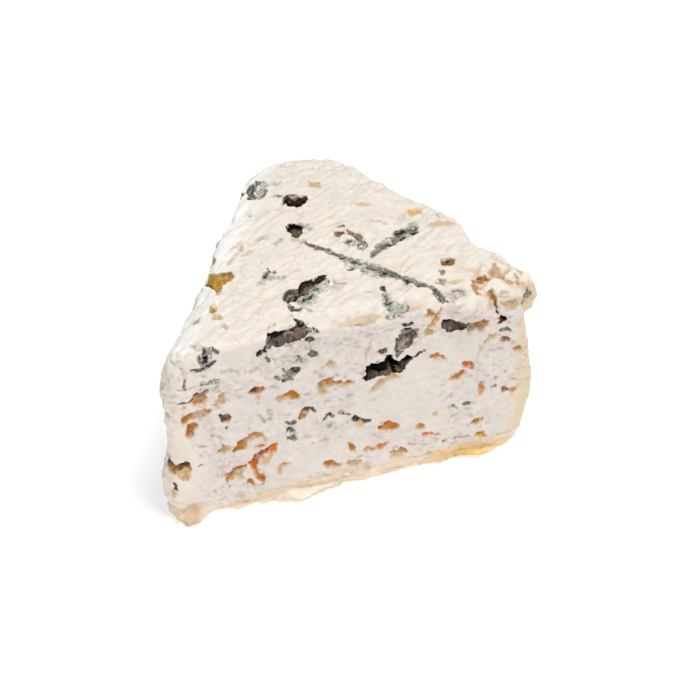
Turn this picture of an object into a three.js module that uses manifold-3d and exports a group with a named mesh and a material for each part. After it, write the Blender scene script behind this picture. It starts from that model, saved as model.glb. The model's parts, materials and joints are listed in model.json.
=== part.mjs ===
// A wedge of blue cheese: one sixth of a half-height wheel, 200 mm across, standing on its flat rind.
// Millimetres, +Z up. The broad cut face looks along -Y, the blunt nose of the wedge is at -X, and the
// rind runs from +X round to the tip at +Y. The wheel's axis is the line x = 0, y = 0 until the finished
// solid is moved so that the middle of its box's underside is the origin.
// The block is a box grid bent to the wedge. Pockets, crevices and needle tracks are cut out of it, and the
// crumbling corner and the torn edge of the base rind are joined to it, so the cheese is one solid.

import * as THREE from "three";
import { ImprovedNoise } from "three/addons/math/ImprovedNoise.js";
import { mergeVertices } from "three/addons/utils/BufferGeometryUtils.js";
import Module from "manifold-3d";

// Driving dimensions
const WHEEL_RADIUS = 100;
const HEIGHT = 57;
const WEDGE_ANGLE = THREE.MathUtils.degToRad(60);
const RIND_OUT = 1; // how far the rind stands out from the wheel's own radius
const NOSE_BLUNT = 4.4; // how far the blunt nose stops short of the two cuts' meeting line
const NOSE_EDGE_ROUND = 0.9; // how far the nose's two upright edges stand back
const TOP_EDGE_ROUND = 1.5;
const FOOT_ROUND = 6; // the radius where the rind turns under

// How the block has settled
const RIND_BULGE = 2.2; // how far the rind swells at mid height
const SWELL = { height: 8.2, at: 0.82, width: 0.27 }; // the rind's high spot next to the tip
const DENT = { depth: 4, at: 0.24, width: 0.1 }; // the dip in the rind's top edge near the main cut
const TIP_CHIP = { drop: 12, angle: 0.07 }; // what the broken tip at the far end of the rind has lost
const CORNER_ROUND = { drop: 2.4, angle: 0.035 }; // the rounding of the rind's two upright edges
// How far the rind's corner at the main cut and the nose stand out, and at which heights
const CUT_CORNER_HEIGHTS = [0, 4, 9, 16, 24, 33, 42];
const CUT_CORNER_BULGE = [1, 1.8, 3, 3.6, 2.8, 1.2, 0];
const NOSE_HEIGHTS = [0, 3, 10, 22, 30, 44, 52, 57];
const NOSE_BELLY = [1.4, 2, 3.5, 2.4, 2.3, 3.5, 1.4, -0.9];
const LEFT_CUT_SET = 0.4; // how far the left cut stands out at the top
const LEFT_CUT_LEAN = 3.2; // how much further it stands out at the base
const TOP_EDGE_DROP = 2.2; // how far the top falls away along the left cut, between the nose and the middle
const UNEVEN = { coarse: 0.4, fine: 0.25, coarseLength: 17, fineLength: 7 };

// The smeared lip on the front edge of the top, and the trough behind it
const LIP = { from: 42, to: 66, out: 1.6, trough: 1.7, behind: 4 };

const GRID = { radial: 23, round: 14, up: 11 };

const { Manifold, Mesh } = await Module().then((wasm) => {
  wasm.setup();
  return wasm;
});
const perlin = new ImprovedNoise();

// Smooth noise of about -1 to 1, with hills the given length apart.
function hills(p, length, seed = 0) {
  return 1.6 * perlin.noise(p.x / length + seed, p.y / length, p.z / length + seed);
}

// One hump of height 1 round the middle, falling to 0 at the given distance.
function hump(value, middle, distance) {
  const t = Math.min(1, Math.abs(value - middle) / distance);
  return (1 - t * t) ** 2;
}

// 0 on start's side, 1 on end's side and a smooth change between them.
function ease(value, start, end) {
  const t = THREE.MathUtils.clamp((value - start) / (end - start), 0, 1);
  return t * t * (3 - 2 * t);
}

// The value at a height, on straight lines between the given heights.
function profile(z, heights, values) {
  const above = heights.findIndex((height) => height >= z);
  if (above === 0) return values[0];
  if (above < 0) return values[values.length - 1];
  const share = (z - heights[above - 1]) / (heights[above] - heights[above - 1]);
  return THREE.MathUtils.lerp(values[above - 1], values[above], share);
}

function solidFrom(geometry) {
  geometry.deleteAttribute("normal");
  geometry.deleteAttribute("uv");
  const merged = mergeVertices(geometry, 1e-4);
  return new Manifold(
    new Mesh({
      numProp: 3,
      vertProperties: new Float32Array(merged.attributes.position.array),
      triVerts: new Uint32Array(merged.index.array),
    }),
  );
}

function join(solids) {
  return solids.reduce((whole, next) => whole.add(next));
}

// How far each side stands in from its own plane at a height: rounded at the top edge.
function topRounding(z) {
  const over = Math.max(0, z - (HEIGHT - TOP_EDGE_ROUND));
  return TOP_EDGE_ROUND - Math.sqrt(Math.max(0, TOP_EDGE_ROUND ** 2 - over ** 2));
}

// How far the rind has moved out at a height, at a share 0 to 1 of the wedge's angle.
function rindGrowth(share, z) {
  const up = z / HEIGHT;
  const fromMain = share * WEDGE_ANGLE;
  const fromTip = (1 - share) * WEDGE_ANGLE;
  return (
    SWELL.height * hump(share, SWELL.at, SWELL.width) +
    RIND_BULGE * (Math.sin(Math.PI * up) - 0.1) +
    profile(z, CUT_CORNER_HEIGHTS, CUT_CORNER_BULGE) * hump(share, 0, 0.25) -
    TIP_CHIP.drop * Math.exp(-fromTip / TIP_CHIP.angle) -
    CORNER_ROUND.drop * Math.exp(-fromMain / CORNER_ROUND.angle) -
    DENT.depth * hump(share, DENT.at, DENT.width) * up ** 3
  );
}

// A point of the block as the knife left it: u from nose to rind, v from the main cut to the left cut, w from
// base to top.
function cutPoint(u, v, w) {
  const z = HEIGHT * (w - 0.07 * Math.sin(2 * Math.PI * w));
  const angle = v * WEDGE_ANGLE;
  const inset = topRounding(z);
  const meet = new THREE.Vector2((inset * (1 + Math.cos(WEDGE_ANGLE))) / Math.sin(WEDGE_ANGLE), inset);
  const along = new THREE.Vector2(Math.cos(angle), Math.sin(angle));
  const nose = NOSE_BLUNT / Math.cos(angle - WEDGE_ANGLE / 2) + NOSE_EDGE_ROUND * (2 * v - 1) ** 6;
  const foot = FOOT_ROUND - Math.sqrt(FOOT_ROUND ** 2 - Math.max(0, FOOT_ROUND - z) ** 2);
  const rim = WHEEL_RADIUS + RIND_OUT - foot - inset - meet.dot(along);
  const reach = THREE.MathUtils.lerp(nose, rim, u);
  return new THREE.Vector3(meet.x + along.x * reach, meet.y + along.y * reach, z);
}

// The same point once the block has settled: the rind swells and dips, the tip has lost its point, the nose
// and the left cut stand out towards the base, and the top has a smeared lip over the main cut.
function settle(point) {
  const flat = Math.hypot(point.x, point.y);
  const angle = Math.atan2(point.y, point.x);
  const share = THREE.MathUtils.clamp(angle / WEDGE_ANGLE, 0, 1);
  const reach = flat + rindGrowth(share, point.z) * ease(flat, 60, 98);
  const [sin, cos] = [Math.sin(WEDGE_ANGLE), Math.cos(WEDGE_ANGLE)];
  let x = reach * Math.cos(angle);
  let y = reach * Math.sin(angle);
  let z = point.z;
  const leftIn = x * sin - y * cos;
  const leftAlong = x * cos + y * sin;
  const lean = (LEFT_CUT_SET + LEFT_CUT_LEAN * (1 - z / HEIGHT)) * ease(leftIn, 25, 0);
  const belly = profile(z, NOSE_HEIGHTS, NOSE_BELLY) * ease(reach, 20, 3);
  x -= lean * sin + belly;
  y += lean * cos - belly * 0.3;
  z -= TOP_EDGE_DROP * ease(leftIn, 5, 0) * hump(leftAlong, 22, 40) * ease(z, HEIGHT - 8, HEIGHT);
  const along = hump(x, (LIP.from + LIP.to) / 2, (LIP.to - LIP.from) / 2);
  if (y < 3) y -= LIP.out * along * hump(z, HEIGHT - 1.5, 5);
  if (z > HEIGHT - 1) z -= LIP.trough * along * hump(y, LIP.behind, 4);
  return new THREE.Vector3(x, y, z);
}

function blockPoint(u, v, w) {
  return settle(cutPoint(u, v, w));
}

// Outward direction of the box side that a grid point lies on, summed where sides meet.
function outwardOf(u, v, w) {
  const out = new THREE.Vector3();
  const angle = v * WEDGE_ANGLE;
  if (u === 0) out.add(new THREE.Vector3(-Math.cos(angle), -Math.sin(angle), 0));
  if (u === 1) out.add(new THREE.Vector3(Math.cos(angle), Math.sin(angle), 0));
  if (v === 0) out.add(new THREE.Vector3(0, -1, 0));
  if (v === 1) out.add(new THREE.Vector3(-Math.sin(WEDGE_ANGLE), Math.cos(WEDGE_ANGLE), 0));
  if (w === 1) out.add(new THREE.Vector3(0, 0, 1));
  return out.normalize();
}

// The wedge before anything is cut: a box grid, bent and made uneven. The base stays flat.
function block() {
  const geometry = new THREE.BoxGeometry(1, 1, 1, GRID.radial, GRID.round, GRID.up);
  const position = geometry.attributes.position;
  const snap = (value) => Math.round((value + 0.5) * 1e6) / 1e6;
  for (let i = 0; i < position.count; i++) {
    const [u, v, w] = [position.getX(i), position.getY(i), position.getZ(i)].map(snap);
    const point = blockPoint(u, v, w);
    const coarse = UNEVEN.coarse * hills(point, UNEVEN.coarseLength);
    const fine = UNEVEN.fine * hills(point, UNEVEN.fineLength, 5);
    point.addScaledVector(outwardOf(u, v, w), coarse + fine);
    position.setXYZ(i, point.x, point.y, w === 0 ? 0 : point.z);
  }
  return solidFrom(geometry);
}

// A face's frame: a place on it is (across, along) in millimetres, and Z points out of the cheese.
function faceFrame(origin, across, along) {
  const out = new THREE.Vector3().crossVectors(across, along);
  return new THREE.Matrix4().makeBasis(across, along, out).setPosition(origin);
}
const AXIS = { x: new THREE.Vector3(1, 0, 0), y: new THREE.Vector3(0, 1, 0), z: new THREE.Vector3(0, 0, 1) };
const MAIN_CUT = faceFrame(new THREE.Vector3(0, 0, 0), AXIS.x, AXIS.z);
const TOP = faceFrame(new THREE.Vector3(0, 0, HEIGHT), AXIS.x, AXIS.y);
const toNose = new THREE.Vector3(-Math.cos(WEDGE_ANGLE), -Math.sin(WEDGE_ANGLE), 0);
const LEFT_CUT = faceFrame(toNose.clone().multiplyScalar(-WHEEL_RADIUS), toNose, AXIS.z);

// A place on the rind, at a share 0 to 1 of the wedge's angle.
function rindFrame(share) {
  const angle = share * WEDGE_ANGLE;
  const outward = new THREE.Vector3(Math.cos(angle), Math.sin(angle), 0);
  const across = new THREE.Vector3().crossVectors(AXIS.z, outward);
  const reach = WHEEL_RADIUS + RIND_OUT + rindGrowth(share, HEIGHT / 3);
  return faceFrame(outward.multiplyScalar(reach), across, AXIS.z);
}

// A rough egg on a face, used to cut a pocket or to add a crumb: size is length, width and depth, tilt is
// in degrees from the face's first direction, and lift moves its middle out of the face.
function roughEgg(frame, { at, size, tilt = 0, lift = 0, roughness = 0.16 }) {
  const [length, width, depth] = size;
  const detail = length > 8 ? 2 : length > 4.3 ? 1 : 0;
  const geometry = new THREE.IcosahedronGeometry(1, detail);
  const position = geometry.attributes.position;
  const point = new THREE.Vector3();
  const shift = at[0] * 0.37 + at[1] * 0.73;
  for (let i = 0; i < position.count; i++) {
    point.fromBufferAttribute(position, i);
    point.multiplyScalar(1 + roughness * hills(point, 0.7, shift));
    position.setXYZ(i, (point.x * length) / 2, (point.y * width) / 2, point.z * depth);
  }
  geometry.rotateZ(THREE.MathUtils.degToRad(tilt));
  geometry.translate(at[0], at[1], lift);
  geometry.applyMatrix4(frame);
  return solidFrom(geometry);
}

// Pockets that mould has opened on the main cut. Each is where it is on the face, its size and its tilt.
const MAIN_POCKETS = [
  { at: [58.5, 39.3], size: [12.5, 5.6, 9], tilt: 4 },
  { at: [65.5, 40.3], size: [6.5, 2.6, 5], tilt: 6 },
  { at: [65.2, 46.8], size: [9.6, 5.6, 3.6], tilt: 62 },
  { at: [79.2, 48], size: [8.4, 3.6, 4.4], tilt: -8 },
  { at: [85, 46.9], size: [7.2, 2.8, 3.4], tilt: -4 },
  { at: [34, 57.6], size: [12.4, 8, 4.8], tilt: 12 },
  { at: [28.8, 55.6], size: [5.2, 4.2, 3.6], tilt: 25 },
  { at: [91.9, 48], size: [4, 3, 4], tilt: 110 },
  { at: [33.4, 44.6], size: [4, 2.4, 1.5], tilt: 30 },
  { at: [10.3, 54], size: [4.6, 2, 1.5], tilt: 80 },
  { at: [37.5, 29.3], size: [4.6, 1.8, 1.8], tilt: 35 },
  { at: [33, 26.4], size: [3.6, 2, 1.4], tilt: -25 },
  { at: [52, 22.8], size: [4.8, 1.9, 1.4], tilt: -12 },
  { at: [95.5, 22], size: [4.6, 1.7, 1.2], tilt: -12 },
];

// Small mechanical openings between the curds, on the main cut.
const MAIN_CREVICES = [
  { at: [43.8, 37.4], size: [7.6, 3, 2.6], tilt: -6 },
  { at: [41.4, 35.8], size: [3.6, 1.5, 1.6], tilt: 70 },
  { at: [32.8, 36.6], size: [4.6, 1.9, 1.8], tilt: -22 },
  { at: [8.3, 42.4], size: [4.6, 2.6, 2], tilt: 15 },
  { at: [13.4, 40.3], size: [3.8, 2.2, 1.3], tilt: 50 },
  { at: [4.6, 35.8], size: [4.2, 1.8, 1.4], tilt: 35 },
  { at: [5.3, 32.1], size: [5, 2.2, 2.2], tilt: 82 },
  { at: [13.6, 23.5], size: [3.8, 2.2, 1.3], tilt: 20 },
  { at: [18.7, 22.7], size: [5.4, 2.3, 1.8], tilt: 30 },
  { at: [22.6, 24.6], size: [4.4, 1.4, 1], tilt: -8 },
  { at: [26.4, 18.9], size: [5, 2.3, 2.6], tilt: 12 },
  { at: [22.6, 17.7], size: [3, 1.9, 2.4], tilt: 25 },
  { at: [21.4, 14.6], size: [5, 1.3, 2], tilt: 96 },
  { at: [22.9, 10.4], size: [6.2, 1.7, 1.8], tilt: -60 },
  { at: [18, 13.1], size: [6, 2.9, 1.8], tilt: 38 },
  { at: [1.6, 17.8], size: [7, 4.6, 3], tilt: 78 },
  { at: [50, 13.6], size: [4.4, 1.8, 1.3], tilt: -58 },
  { at: [58.3, 11.8], size: [5.2, 1.1, 1.2], tilt: 15 },
  { at: [43.6, 9.2], size: [5.4, 1.8, 1.5], tilt: -25 },
  { at: [60.4, 17.9], size: [7, 3, 1.6], tilt: -8 },
  { at: [63.4, 8.1], size: [5, 2.2, 1.5], tilt: -8 },
  { at: [80.3, 30], size: [4, 2.4, 1.7], tilt: 10 },
  { at: [83.8, 33.4], size: [4.6, 2.4, 1.7], tilt: -28 },
  { at: [74.2, 38.6], size: [4.6, 1.8, 1.4], tilt: -15 },
  { at: [88, 24], size: [4.2, 2.2, 1.2], tilt: 84 },
  { at: [88.4, 7.6], size: [3.8, 1.7, 1.3], tilt: -12 },
  { at: [72.8, 50.3], size: [4.4, 1.6, 1.6], tilt: 30 },
  { at: [93.4, 40.5], size: [4.4, 1.8, 1.4], tilt: -35 },
];

// Pockets and crevices that the level cut has opened on the top.
const TOP_POCKETS = [
  { at: [44, 17.6], size: [15, 4.6, 6], tilt: 42 },
  { at: [38.4, 13.6], size: [8.5, 4.4, 3.4], tilt: 66 },
  { at: [37.4, 9.6], size: [3.6, 2.8, 3], tilt: 20 },
  { at: [53.2, 61.6], size: [7.6, 7, 6], tilt: 60 },
  { at: [21.4, 27.6], size: [8.6, 7, 5], tilt: 70 },
  { at: [20.3, 23], size: [4.6, 2.4, 3], tilt: 80 },
  { at: [48.6, 46.4], size: [8, 3.4, 2.4], tilt: 62 },
  { at: [44, 72.6], size: [6, 2.2, 1.8], tilt: 50 },
  { at: [63, 37.6], size: [6, 2.2, 1.6], tilt: -60 },
  { at: [59.5, 39.6], size: [3.2, 2.2, 1.4], tilt: 40 },
  { at: [83, 17.2], size: [4.2, 3, 2.2], tilt: 25 },
  { at: [84.8, 44], size: [5, 4.2, 1.3], tilt: -40 },
  { at: [35.6, 27.2], size: [4, 1.8, 1.3], tilt: 30 },
  { at: [16.6, 17], size: [4.6, 1.5, 1.5], tilt: 70 },
  { at: [62.3, 11.2], size: [3, 1.5, 1.8], tilt: 75 },
  { at: [62.4, 4.2], size: [2.8, 2, 1.2], tilt: 30 },
  { at: [79.2, 9.2], size: [4.6, 2.2, 2], tilt: 50 },
];

// The lumps that the corner between the main cut, the rind and the top is breaking into, and the clefts
// between them. Places are (x, y) seen from above, and lift is the height over the top.
const CORNER_LUMPS = [
  { at: [82.2, 2.2], size: [10, 8.5, 4.2], tilt: 20, lift: -3.6 },
  { at: [94.6, 3.4], size: [10, 9, 6.2], tilt: 60, lift: -5 },
  { at: [98.6, 5.6], size: [8.6, 12.6, 6.9], tilt: 76, lift: -6.4 },
  { at: [91, 10.6], size: [11, 7, 3.4], tilt: 40, lift: -3.2 },
  { at: [83.6, 0.4], size: [12, 4.4, 4.4], tilt: 3, lift: -5.6 },
  { at: [95.6, 1.6], size: [9, 5.4, 4.2], tilt: 5, lift: -8.2 },
];
const CORNER_CLEFTS = [
  { at: [86.8, 4], size: [10.5, 2, 4.4], tilt: 80 },
  { at: [89.6, 6], size: [6, 2.4, 3.4], tilt: 112 },
  { at: [88.2, -1.2], size: [5, 1.8, 5], tilt: -50 },
  { at: [98, 3], size: [5.5, 1.7, 2], tilt: 96 },
];

// A needle's track lies open on the top as a shallow groove between two places.
const TRACKS = [
  { from: [49, 39.5], bend: [61, 23.5], to: [77.5, -1], width: 2.2, depth: 1.3 },
  { from: [63.5, 25.6], bend: [72.5, 31.6], to: [82.5, 40], width: 3.4, depth: 1.8 },
];
const TRACK_STRAY = 0.55; // how far a track's sides wander

function trackGroove({ from, bend, to, width, depth }) {
  const spot = ([x, y]) => new THREE.Vector3(x, y, HEIGHT);
  const route = new THREE.QuadraticBezierCurve3(spot(from), spot(bend), spot(to));
  const section = new THREE.Shape();
  section.absellipse(0, 0, depth, width / 2, 0, 2 * Math.PI);
  const options = { extrudePath: route, steps: 16, curveSegments: 3, bevelEnabled: false };
  const geometry = new THREE.ExtrudeGeometry(section, options);
  const position = geometry.attributes.position;
  const point = new THREE.Vector3();
  for (let i = 0; i < position.count; i++) {
    point.fromBufferAttribute(position, i);
    const stray = TRACK_STRAY * hills(point, 3.4, 2);
    position.setXYZ(i, point.x + stray, point.y + stray, point.z + stray * 0.7);
  }
  return solidFrom(geometry);
}

// Openings on the faces that the main cut hides follow a seeded rule: a jittered grid of eggs.
const HIDDEN_OPENINGS = { spacing: 18, length: [3.5, 9], depth: [1.2, 3], margin: 8 };

function seeded(seed) {
  let state = seed;
  return () => {
    state = (state * 16807) % 2147483647;
    return state / 2147483647;
  };
}

function leftCutOpenings() {
  const random = seeded(71);
  const { spacing, length, depth, margin } = HIDDEN_OPENINGS;
  const found = [];
  for (let across = margin; across < WHEEL_RADIUS - margin; across += spacing) {
    for (let up = margin + 2; up < HEIGHT - margin; up += spacing) {
      const long = THREE.MathUtils.lerp(...length, random() ** 2);
      const lean = (LEFT_CUT_LEAN * (HEIGHT - up)) / HEIGHT;
      found.push(
        roughEgg(LEFT_CUT, {
          at: [across + (random() - 0.5) * spacing, up + (random() - 0.5) * spacing],
          size: [long, long * (0.35 + 0.2 * random()), THREE.MathUtils.lerp(...depth, random())],
          tilt: 60 * (random() - 0.5),
          lift: lean,
        }),
      );
    }
  }
  return found;
}

// Needle holes and small pits in the rind.
function rindPits() {
  const random = seeded(19);
  return Array.from({ length: 6 }, (_, i) =>
    roughEgg(rindFrame((i + 0.5 + 0.6 * (random() - 0.5)) / 6), {
      at: [0, 12 + 34 * random()],
      size: [2.4 + 2.4 * random(), 2, 1.4],
      tilt: 90 * random(),
    }),
  );
}

// The torn edge of the base rind under the main cut: flakes, each with its middle, length and reach.
const BASE_FLAKES = [
  { middle: 14, length: 16, out: 2.6 },
  { middle: 34, length: 15, out: 2.4 },
  { middle: 56, length: 10, out: 1.2 },
  { middle: 73, length: 9, out: 0.9 },
  { middle: 89, length: 14, out: 1.6 },
];
const NOSE_FLAKE = { at: [3.6, 0.4], wide: 7.5, out: 4.2, way: [-0.3, -0.95] }; // at the foot of the nose
const BASE_LAYER = { thickness: 1.8, set: 0.7, step: 3.3 };

function flakeReach(x) {
  return BASE_FLAKES.reduce((most, f) => Math.max(most, f.out * hump(x, f.middle, f.length / 2 + 1)), 0);
}

// One layer of the base rind, under the whole wedge, with a ragged outline that stands out a little.
function baseLayer(bottom, thickness, share) {
  const outline = [];
  const ragged = (x, y) => 0.5 * hills(new THREE.Vector3(x, y, bottom * 9), 4.3, 3);
  const noseFoot = new THREE.Vector3(...NOSE_FLAKE.at, 0);
  const noseWay = new THREE.Vector3(...NOSE_FLAKE.way, 0);
  const add = (u, v, reach) => {
    const p = blockPoint(u, v, bottom / HEIGHT);
    const out = outwardOf(u, v, 0);
    const torn = share * NOSE_FLAKE.out * hump(p.distanceTo(noseFoot), 0, NOSE_FLAKE.wide);
    p.addScaledVector(out, share * (BASE_LAYER.set + reach + ragged(p.x, p.y)));
    p.addScaledVector(noseWay, torn);
    outline.push(new THREE.Vector2(p.x, p.y));
  };
  const along = Math.round(WHEEL_RADIUS / BASE_LAYER.step);
  const short = 3;
  for (let i = 0; i < along; i++) add(i / along, 0, flakeReach((i / along) * WHEEL_RADIUS));
  for (let i = 0; i < along; i++) add(1, i / along, 0);
  for (let i = 0; i < along; i++) add(1 - i / along, 1, 0.8);
  for (let i = 0; i < short; i++) add(0, 1 - i / short, 0);
  const shape = new THREE.Shape(outline);
  const layer = new THREE.ExtrudeGeometry(shape, { depth: thickness, bevelEnabled: false });
  layer.translate(0, 0, bottom);
  return solidFrom(layer);
}

function wholeCheese() {
  const joined = join([
    block(),
    baseLayer(0, BASE_LAYER.thickness, 1),
    baseLayer(0, BASE_LAYER.thickness * 2, 0.35),
    ...CORNER_LUMPS.map((lump) => roughEgg(TOP, { ...lump, roughness: 0.17 })),
  ]);
  const cuts = join([
    ...[...MAIN_POCKETS, ...MAIN_CREVICES].map((egg) => roughEgg(MAIN_CUT, egg)),
    ...[...TOP_POCKETS, ...CORNER_CLEFTS].map((egg) => roughEgg(TOP, egg)),
    ...TRACKS.map(trackGroove),
    ...leftCutOpenings(),
    ...rindPits(),
  ]);
  const cut = joined.subtract(cuts);
  return cut.decompose().reduce((most, next) => (next.volume() > most.volume() ? next : most));
}

function geometryOf(solid) {
  const { vertProperties, triVerts } = solid.getMesh();
  const geometry = new THREE.BufferGeometry();
  geometry.setAttribute("position", new THREE.BufferAttribute(vertProperties, 3));
  geometry.setIndex(new THREE.BufferAttribute(triVerts, 1));
  return geometry;
}

const paste = new THREE.MeshStandardMaterial({ color: 0xece2d5, roughness: 0.55, metalness: 0 });
const cheese = new THREE.Mesh(geometryOf(wholeCheese()), paste);
cheese.name = "cheese_wedge";
cheese.geometry.computeBoundingBox();
const box = cheese.geometry.boundingBox;
cheese.position.set(-(box.min.x + box.max.x) / 2, -(box.min.y + box.max.y) / 2, -box.min.z);

const group = new THREE.Group();
group.add(cheese);
export default group;
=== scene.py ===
import json
import math

import bpy
import numpy as np
from mathutils import Matrix, Vector, noise
from mathutils.kdtree import KDTree

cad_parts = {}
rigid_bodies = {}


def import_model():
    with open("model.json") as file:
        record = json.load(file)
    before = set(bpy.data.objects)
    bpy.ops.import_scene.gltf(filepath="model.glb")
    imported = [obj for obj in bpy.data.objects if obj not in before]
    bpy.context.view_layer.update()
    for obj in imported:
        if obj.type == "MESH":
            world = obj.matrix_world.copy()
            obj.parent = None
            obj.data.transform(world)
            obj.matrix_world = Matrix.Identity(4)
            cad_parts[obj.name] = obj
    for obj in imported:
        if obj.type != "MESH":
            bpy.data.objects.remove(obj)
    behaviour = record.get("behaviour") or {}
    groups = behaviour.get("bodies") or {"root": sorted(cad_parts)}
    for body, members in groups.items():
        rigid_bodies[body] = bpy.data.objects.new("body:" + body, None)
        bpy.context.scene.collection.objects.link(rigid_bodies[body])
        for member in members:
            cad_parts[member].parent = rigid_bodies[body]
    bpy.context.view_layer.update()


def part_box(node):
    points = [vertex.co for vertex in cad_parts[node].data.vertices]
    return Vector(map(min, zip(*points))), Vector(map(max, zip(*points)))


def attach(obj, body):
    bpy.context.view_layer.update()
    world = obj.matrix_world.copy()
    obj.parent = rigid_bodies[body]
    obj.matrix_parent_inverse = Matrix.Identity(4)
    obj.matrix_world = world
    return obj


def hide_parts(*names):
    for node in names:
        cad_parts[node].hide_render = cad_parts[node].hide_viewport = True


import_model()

# ---------------------------------------------------------------------------------------------------------
# The view. A long lens looks down on the broad cut face from the side of the wedge's nose. Its place is
# measured from the axis of the wheel that the wedge was cut from, on the board that the wheel stood on.
# ---------------------------------------------------------------------------------------------------------
MM = 0.001
NOSE_OUT = 2.955 * MM  # from the wheel's axis to the solid's lowest X, at the foot of the nose
FLAKE_OUT = 3.45 * MM  # from the broad cut to the solid's lowest Y, at the torn base rind
node_low, node_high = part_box("cheese_wedge")
wheel_axis = Vector((node_low.x + NOSE_OUT, node_low.y + FLAKE_OUT, 0))

LENS = 82.2
CAMERA_FROM_AXIS = Vector((-61.5, -316.8, 301.6)) * MM
LOOK_DOWN = math.radians(37.15)
LOOK_RIGHT = math.radians(19.27)

bpy.ops.object.camera_add(
    location=wheel_axis + CAMERA_FROM_AXIS,
    rotation=(math.pi / 2 - LOOK_DOWN, 0, -LOOK_RIGHT),
)
camera = bpy.context.object
camera.data.lens = LENS
camera.data.clip_start = 0.01
bpy.context.scene.camera = camera

# ---------------------------------------------------------------------------------------------------------
# The studio. A white floor, one wide soft box overhead, a low one for the cut face and a white surround
# give the even, bright light of a food table.
# ---------------------------------------------------------------------------------------------------------
FLOOR_SIZE = 6.0
SURROUND = 0.4

bpy.context.scene.view_settings.view_transform = "Standard"
world = bpy.data.worlds.new("white_surround")
world.use_nodes = True
world.node_tree.nodes["Background"].inputs["Color"].default_value = (1, 1, 1, 1)
world.node_tree.nodes["Background"].inputs["Strength"].default_value = SURROUND
bpy.context.scene.world = world

bpy.ops.mesh.primitive_plane_add(size=FLOOR_SIZE, location=(0, 0, 0))
floor = bpy.context.object
floor.name = "floor"
floor_paint = bpy.data.materials.new("pale_floor")
floor_paint.use_nodes = True
floor_shader = floor_paint.node_tree.nodes["Principled BSDF"]
floor_shader.inputs["Base Color"].default_value = (0.85, 0.85, 0.85, 1)
floor_shader.inputs["Roughness"].default_value = 0.9
floor_shader.inputs["Emission Color"].default_value = (1, 1, 1, 1)
floor_shader.inputs["Emission Strength"].default_value = 0.4
floor.data.materials.append(floor_paint)


def soft_box(name, place, size, watts, aim=(0, 0, 30 * MM)):
    bpy.ops.object.light_add(type="AREA", location=place)
    light = bpy.context.object
    light.name = name
    light.data.shape = "SQUARE"
    light.data.size = size
    light.data.energy = watts
    light.rotation_euler = (Vector(aim) - Vector(place)).to_track_quat("-Z", "Y").to_euler()


soft_box("key_box", (0.16, -0.22, 0.8), 0.34, 4.0)
soft_box("left_box", (-0.4, -0.7, 0.45), 0.4, 0.7)

# ---------------------------------------------------------------------------------------------------------
# The wedge: one sixth of a wheel of soft blue cheese, cut level at half height, resting on its base rind.
# A wheel is turned and cut with three knife strokes, its crumbling corner is pressed on, and the curd is
# then opened, torn and smeared point by point. All sizes below are millimetres from the wheel's axis.
# ---------------------------------------------------------------------------------------------------------
WHEEL_RADIUS = 100.0
HEIGHT = 57.0
WEDGE_ANGLE = math.radians(60)
NOSE_BLUNT = 4.4
FOOT_CHAMFER = 6.0
SOFT_CURD = 1.2  # the grain of the first shape
FINE_CURD = 0.36  # and of the fine one

wheel_origin = np.array(wheel_axis) / MM


def curd_points(piece):
    """The piece's points, in millimetres from the wheel's axis."""
    flat = np.empty(len(piece.data.vertices) * 3)
    piece.data.vertices.foreach_get("co", flat)
    return flat.reshape(-1, 3) / MM - wheel_origin


def put_curd(piece, points):
    points = np.asarray(points, float)
    points[:, 2] = np.maximum(points[:, 2], 0)
    piece.data.vertices.foreach_set("co", ((points + wheel_origin) * MM).ravel())
    piece.data.update()


def curd_normals(piece):
    flat = np.empty(len(piece.data.vertices) * 3)
    piece.data.vertex_normals.foreach_get("vector", flat)
    return flat.reshape(-1, 3)


def finish_with(piece, kind, **settings):
    """Adds a modifier with these settings and applies it."""
    bpy.context.view_layer.objects.active = piece
    modifier = piece.modifiers.new(kind.lower(), kind)
    for name, value in settings.items():
        setattr(modifier, name, value)
    bpy.ops.object.modifier_apply(modifier=modifier.name)


def ease(value, start, end):
    """0 on start's side, 1 on end's side and a smooth change between them."""
    t = np.clip((value - start) / (end - start), 0, 1)
    return t * t * (3 - 2 * t)


def hump(value, middle, distance):
    t = np.minimum(1, np.abs(value - middle) / distance)
    return (1 - t * t) ** 2


def hills(points, length, seed=0.0, stretch=(1, 1, 1)):
    """Smooth noise of about -1 to 1 at each point, with hills the given length apart."""
    scaled = points / (length * np.array(stretch)) + seed * 7.31
    return 1.6 * np.fromiter((noise.noise(Vector(p)) for p in scaled), float, len(scaled))


# The wheel, and the three strokes of the knife.
bpy.ops.object.select_all(action="DESELECT")
bpy.ops.mesh.primitive_cylinder_add(
    vertices=240,
    radius=(WHEEL_RADIUS + 1) * MM,
    depth=HEIGHT * MM,
    location=(wheel_axis.x, wheel_axis.y, HEIGHT * MM / 2),
)
cheese = bpy.context.object
cheese.name = "blue_cheese"
bpy.ops.object.transform_apply(location=True, rotation=True, scale=True)
bpy.ops.object.mode_set(mode="EDIT")
bpy.ops.mesh.select_mode(type="EDGE")
bpy.ops.mesh.select_all(action="DESELECT")
bpy.ops.object.mode_set(mode="OBJECT")
for edge in cheese.data.edges:
    edge.select = all(cheese.data.vertices[i].co.z < MM for i in edge.vertices)
bpy.ops.object.mode_set(mode="EDIT")
bpy.ops.mesh.bevel(offset=FOOT_CHAMFER * MM, segments=5, profile=0.5)
left_out = Vector((-math.sin(WEDGE_ANGLE), math.cos(WEDGE_ANGLE), 0))
nose_out = Vector((-math.cos(WEDGE_ANGLE / 2), -math.sin(WEDGE_ANGLE / 2), 0))
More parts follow.
